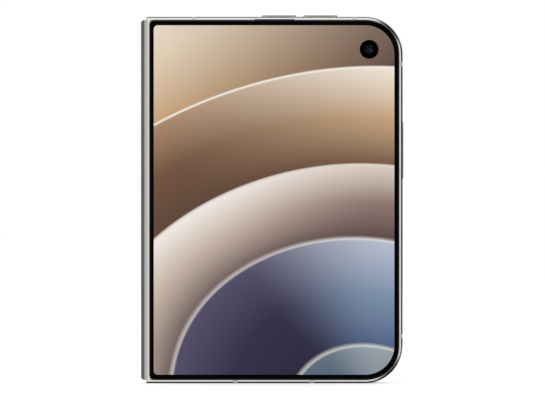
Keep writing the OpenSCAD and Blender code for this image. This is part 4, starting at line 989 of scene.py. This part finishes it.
def cover_camera_eye():
    """The cover camera's lens, a shallow dome just under the cover glass."""
    eye = turned("cover_camera_eye", CAMERA_X, CAMERA_Y, cap(*COVER_LENS), -1)
    # its finish is painted light: an emitted pupil with painted glints
    lens = painted_glow_lens_finish(CAMERA_X, CAMERA_Y, COVER_LENS[0])
    dressed(eye, lens, "front_leaf", "lens", "cover_camera_lens")


def inner_camera_eye():
    """The inner camera's lens, a shallow dome a little proud of the folding display's face."""
    radius, face, rise = INNER_LENS
    dome = cap(radius, -face, rise, rings=10, edge=0.02)
    eye = turned("inner_camera_eye", INNER_CAMERA_X, INNER_CAMERA_Y, dome * [1, -1], 1)
    # painted reflections: a blue ring, a dark edge ring and a bronze middle glint
    lens = lens_with_painted_rings("inner_lens", INNER_CAMERA_X, INNER_CAMERA_Y, radius, (0.02, 0.026, 0.07, 1),
                       (0.012, 0.011, 0.02, 1), (0.03, 0.018, 0.01, 1), 0.2)
    dressed(eye, lens, "rear_leaf", "lens")


def charging_coil():
    """The charging coil: a dark ferrite ring, and flat copper wire that spirals over it with a radius
    that grows evenly with the angle."""
    low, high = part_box("charging_coil")
    x = (low.x + high.x) / 2 / MM - FOLD_X
    y = (low.z + high.z) / 2 / MM
    z = low.y / MM - FOLD_Y
    sheet = turned("coil_ferrite", x, y, [(COIL_INNER, z), (COIL_INNER, z + FERRITE),
                                          (COIL_OUTER, z + FERRITE), (COIL_OUTER, z)], 1)
    dressed(sheet, ferrite, "rear_leaf", "copper", "charging_coil")
    t = np.linspace(0, COIL_TURNS * 2 * np.pi, COIL_TURNS * 90)
    around = np.linspace(0, 2 * np.pi, 8, endpoint=False)
    reach = WINDINGS[0] + (WINDINGS[1] - WINDINGS[0]) * t / t[-1]
    r = reach[:, None] + WIRE_WIDTH * WIRE * np.cos(around)
    rise = z + FERRITE + WIRE + WIRE * np.broadcast_to(np.sin(around), r.shape)
    points = np.stack([x + r * np.cos(t)[:, None], y + r * np.sin(t)[:, None], rise], -1)
    size = points.shape[:2]
    wires = mesh_object("coil_windings", stand(points, 1), ring_faces(*size) + end_caps(*size))
    dressed(wires, copper, "rear_leaf", "copper")


# ---------- floor and light ----------

def floor_finish():
    """A white floor that keeps the phone's soft shadow; polished faces see the studio through it."""
    material = bpy.data.materials.new("white_floor")
    material.use_nodes = True
    g = Graph(material.node_tree)
    g.tree.nodes.clear()
    path = g.add("ShaderNodeLightPath").outputs
    body = g.add("ShaderNodeBsdfDiffuse", {"Color": grey(0.82)}).outputs[0]
    glow = g.add("ShaderNodeEmission", {"Strength": g.product(path["Is Camera Ray"], 0.35)}).outputs[0]
    both = g.add("ShaderNodeAddShader", {0: body, 1: glow}).outputs[0]
    mirrored = g.math("MAXIMUM", path["Is Glossy Ray"], path["Is Transmission Ray"])
    clear = g.add("ShaderNodeBsdfTransparent").outputs[0]
    surface = g.add("ShaderNodeMixShader", {0: mirrored, 1: both, 2: clear}).outputs[0]
    g.add("ShaderNodeOutputMaterial", {"Surface": surface})
    return material


def floor(half=6.0):
    """A square floor, half metres from its middle to its sides."""
    points = np.array([[-half, -half, 0], [half, -half, 0], [half, half, 0], [-half, half, 0]])
    obj = mesh_object("floor", points, [[0, 1, 2, 3]], smooth=False)
    wear(obj, floor_finish())


# The studio as polished metal sees it, one row of (degrees from straight ahead, brightness) for each
# side: bright panels in front, dark cloths past them and a dim room behind. The cloths meet in the
# right-hand diagonals, where they reach nearly to the front, and a pale table and a ceiling panel lie
# behind.
STUDIO = {
    "left": [(0, 0.3), (5, 0.3), (12, 0.45), (16, 1.15), (42, 1.15), (58, 0.66), (73, 0.4), (88, 0.12),
             (112, 0.17), (141, 0.27), (180, 0.3)],
    "right": [(0, 0.3), (5, 0.3), (12, 0.6), (20, 1.15), (36, 1.1), (46, 0.3), (58, 0.05), (100, 0.03),
              (150, 0.1), (180, 0.25)],
    "above": [(0, 0.3), (5, 0.3), (12, 0.55), (18, 0.8), (26, 1.15), (50, 1.15), (64, 0.5), (85, 0.1),
              (150, 0.2), (180, 0.3)],
    "below": [(0, 0.3), (5, 0.3), (12, 0.5), (17, 0.85), (22, 1.1), (38, 1.0), (46, 0.2), (56, 0.03),
              (150, 0.1), (180, 0.3)],
}
CORNER_LIGHT = 0.03
TABLE_LIGHT = 0.62
TABLE_EDGE_LIGHT = 0.28
CEILING_LIGHT = 0.8
ROOM_LIGHT = 0.8                # even light for matt faces


def studio_light(g):
    """The studio's brightness in the world's direction: the squares of the direction's sideways and
    upward parts share out the four rows, and cloth, table and ceiling lie over them."""
    x, y, z = g.add("ShaderNodeSeparateXYZ", {0: g.add("ShaderNodeTexCoord").outputs["Generated"]}).outputs
    angle = g.math("DIVIDE", g.math("ARCCOSINE", g.product(y, -1.0)), math.pi)
    row = {side: g.ramp(angle, [(a / 180, grey(v)) for a, v in stops]) for side, stops in STUDIO.items()}
    xx, zz = g.product(x, x), g.product(z, z)
    across = g.math("MAXIMUM", g.math("ADD", xx, zz), 0.000001)
    upward = g.math("DIVIDE", zz, across)
    to_right = g.math("GREATER_THAN", x, 0.0)
    sideways = g.mix(to_right, row["left"], row["right"])
    upright = g.mix(g.math("GREATER_THAN", z, 0.0), row["below"], row["above"])
    shine = g.mix(upward, sideways, upright)
    diagonal = g.product(upward, g.math("DIVIDE", xx, across), 4.0)
    cloth = g.product(g.smooth(diagonal, 0.3, 0.85), g.smooth(angle, 0.015, 0.035), to_right)
    beside = g.math("ABSOLUTE", x)
    behind = g.smooth(angle, 0.6, 0.68)
    table_edge = g.product(g.smooth(z, -0.03, -0.1), g.smooth(beside, 0.75, 0.92))
    table = g.product(g.smooth(z, -0.08, -0.22), g.smooth(beside, 0.15, 0.4), behind)
    ceiling = g.product(g.smooth(z, 0.12, 0.3), behind)
    for share, light in ((cloth, CORNER_LIGHT), (table_edge, TABLE_EDGE_LIGHT), (table, TABLE_LIGHT),
                         (ceiling, CEILING_LIGHT)):
        shine = g.mix(share, shine, grey(light))
    return shine


def studio_world():
    """Camera rays see white and diffuse light is even. Mirrored and refracted rays see the studio."""
    world = bpy.data.worlds.new("studio")
    world.use_nodes = True
    bpy.context.scene.world = world
    g = Graph(world.node_tree)
    g.tree.nodes.clear()
    shine = studio_light(g)
    path = g.add("ShaderNodeLightPath").outputs
    mirrored = g.math("MAXIMUM", path["Is Glossy Ray"], path["Is Transmission Ray"])
    around = g.mix(mirrored, grey(ROOM_LIGHT), shine)
    colour = g.mix(path["Is Camera Ray"], around, grey(1))
    background = g.add("ShaderNodeBackground", {"Color": colour, "Strength": 1.0})
    g.add("ShaderNodeOutputWorld", {"Surface": background.outputs[0]})


LAMP_SIZE = 0.7                 # metres, as the lamps' places are
LAMP_AIM = (0, 0, 0.06)


def soft_lamp(name, place, watts):
    """A round lamp that aims at the phone's middle and isn't seen in polished faces."""
    data = bpy.data.lights.new(name, "AREA")
    data.shape, data.size, data.energy = "DISK", LAMP_SIZE, watts
    obj = bpy.data.objects.new(name, data)
    obj.location = place
    direction = np.array(LAMP_AIM) - np.array(place)
    obj.rotation_euler = Vector(direction).to_track_quat("-Z", "Y").to_euler()
    bpy.context.collection.objects.link(obj)
    obj.visible_glossy = False


# ---------- camera ----------

SENSOR = 36.0                   # mm
IMAGE_WIDTH = 545               # pixels
PIXEL = 0.3271                  # mm on the cover glass
VIEW_DISTANCE = 1500.0          # mm from the cover glass
VIEW_X = 0.1                    # mm to the right of the phone's middle


def front_camera():
    """A camera with a long lens that looks straight at the cover screen."""
    data = bpy.data.cameras.new("camera")
    data.type = "PERSP"
    data.sensor_width = SENSOR
    data.lens = SENSOR * VIEW_DISTANCE / (IMAGE_WIDTH * PIXEL)
    data.clip_end = 20
    camera = bpy.data.objects.new("camera", data)
    camera.location = (VIEW_X * MM, (FOLD_Y - OUTER_FACE - VIEW_DISTANCE) * MM, LEAF_HEIGHT / 2 * MM)
    camera.rotation_euler = (math.pi / 2, 0, 0)
    bpy.context.collection.objects.link(camera)
    bpy.context.scene.camera = camera


construction_pieces()
cover_glass()
cover_screen()
back_glass()
rear_cameras()
folding_display()
cover_camera_eye()
inner_camera_eye()
charging_coil()
floor()
studio_world()
soft_lamp("key_light", (-0.7, -1.0, 1.1), 6.0)
soft_lamp("back_light", (0.6, 1.0, 0.9), 4.0)
front_camera()
bpy.context.scene.view_settings.view_transform = "Standard"
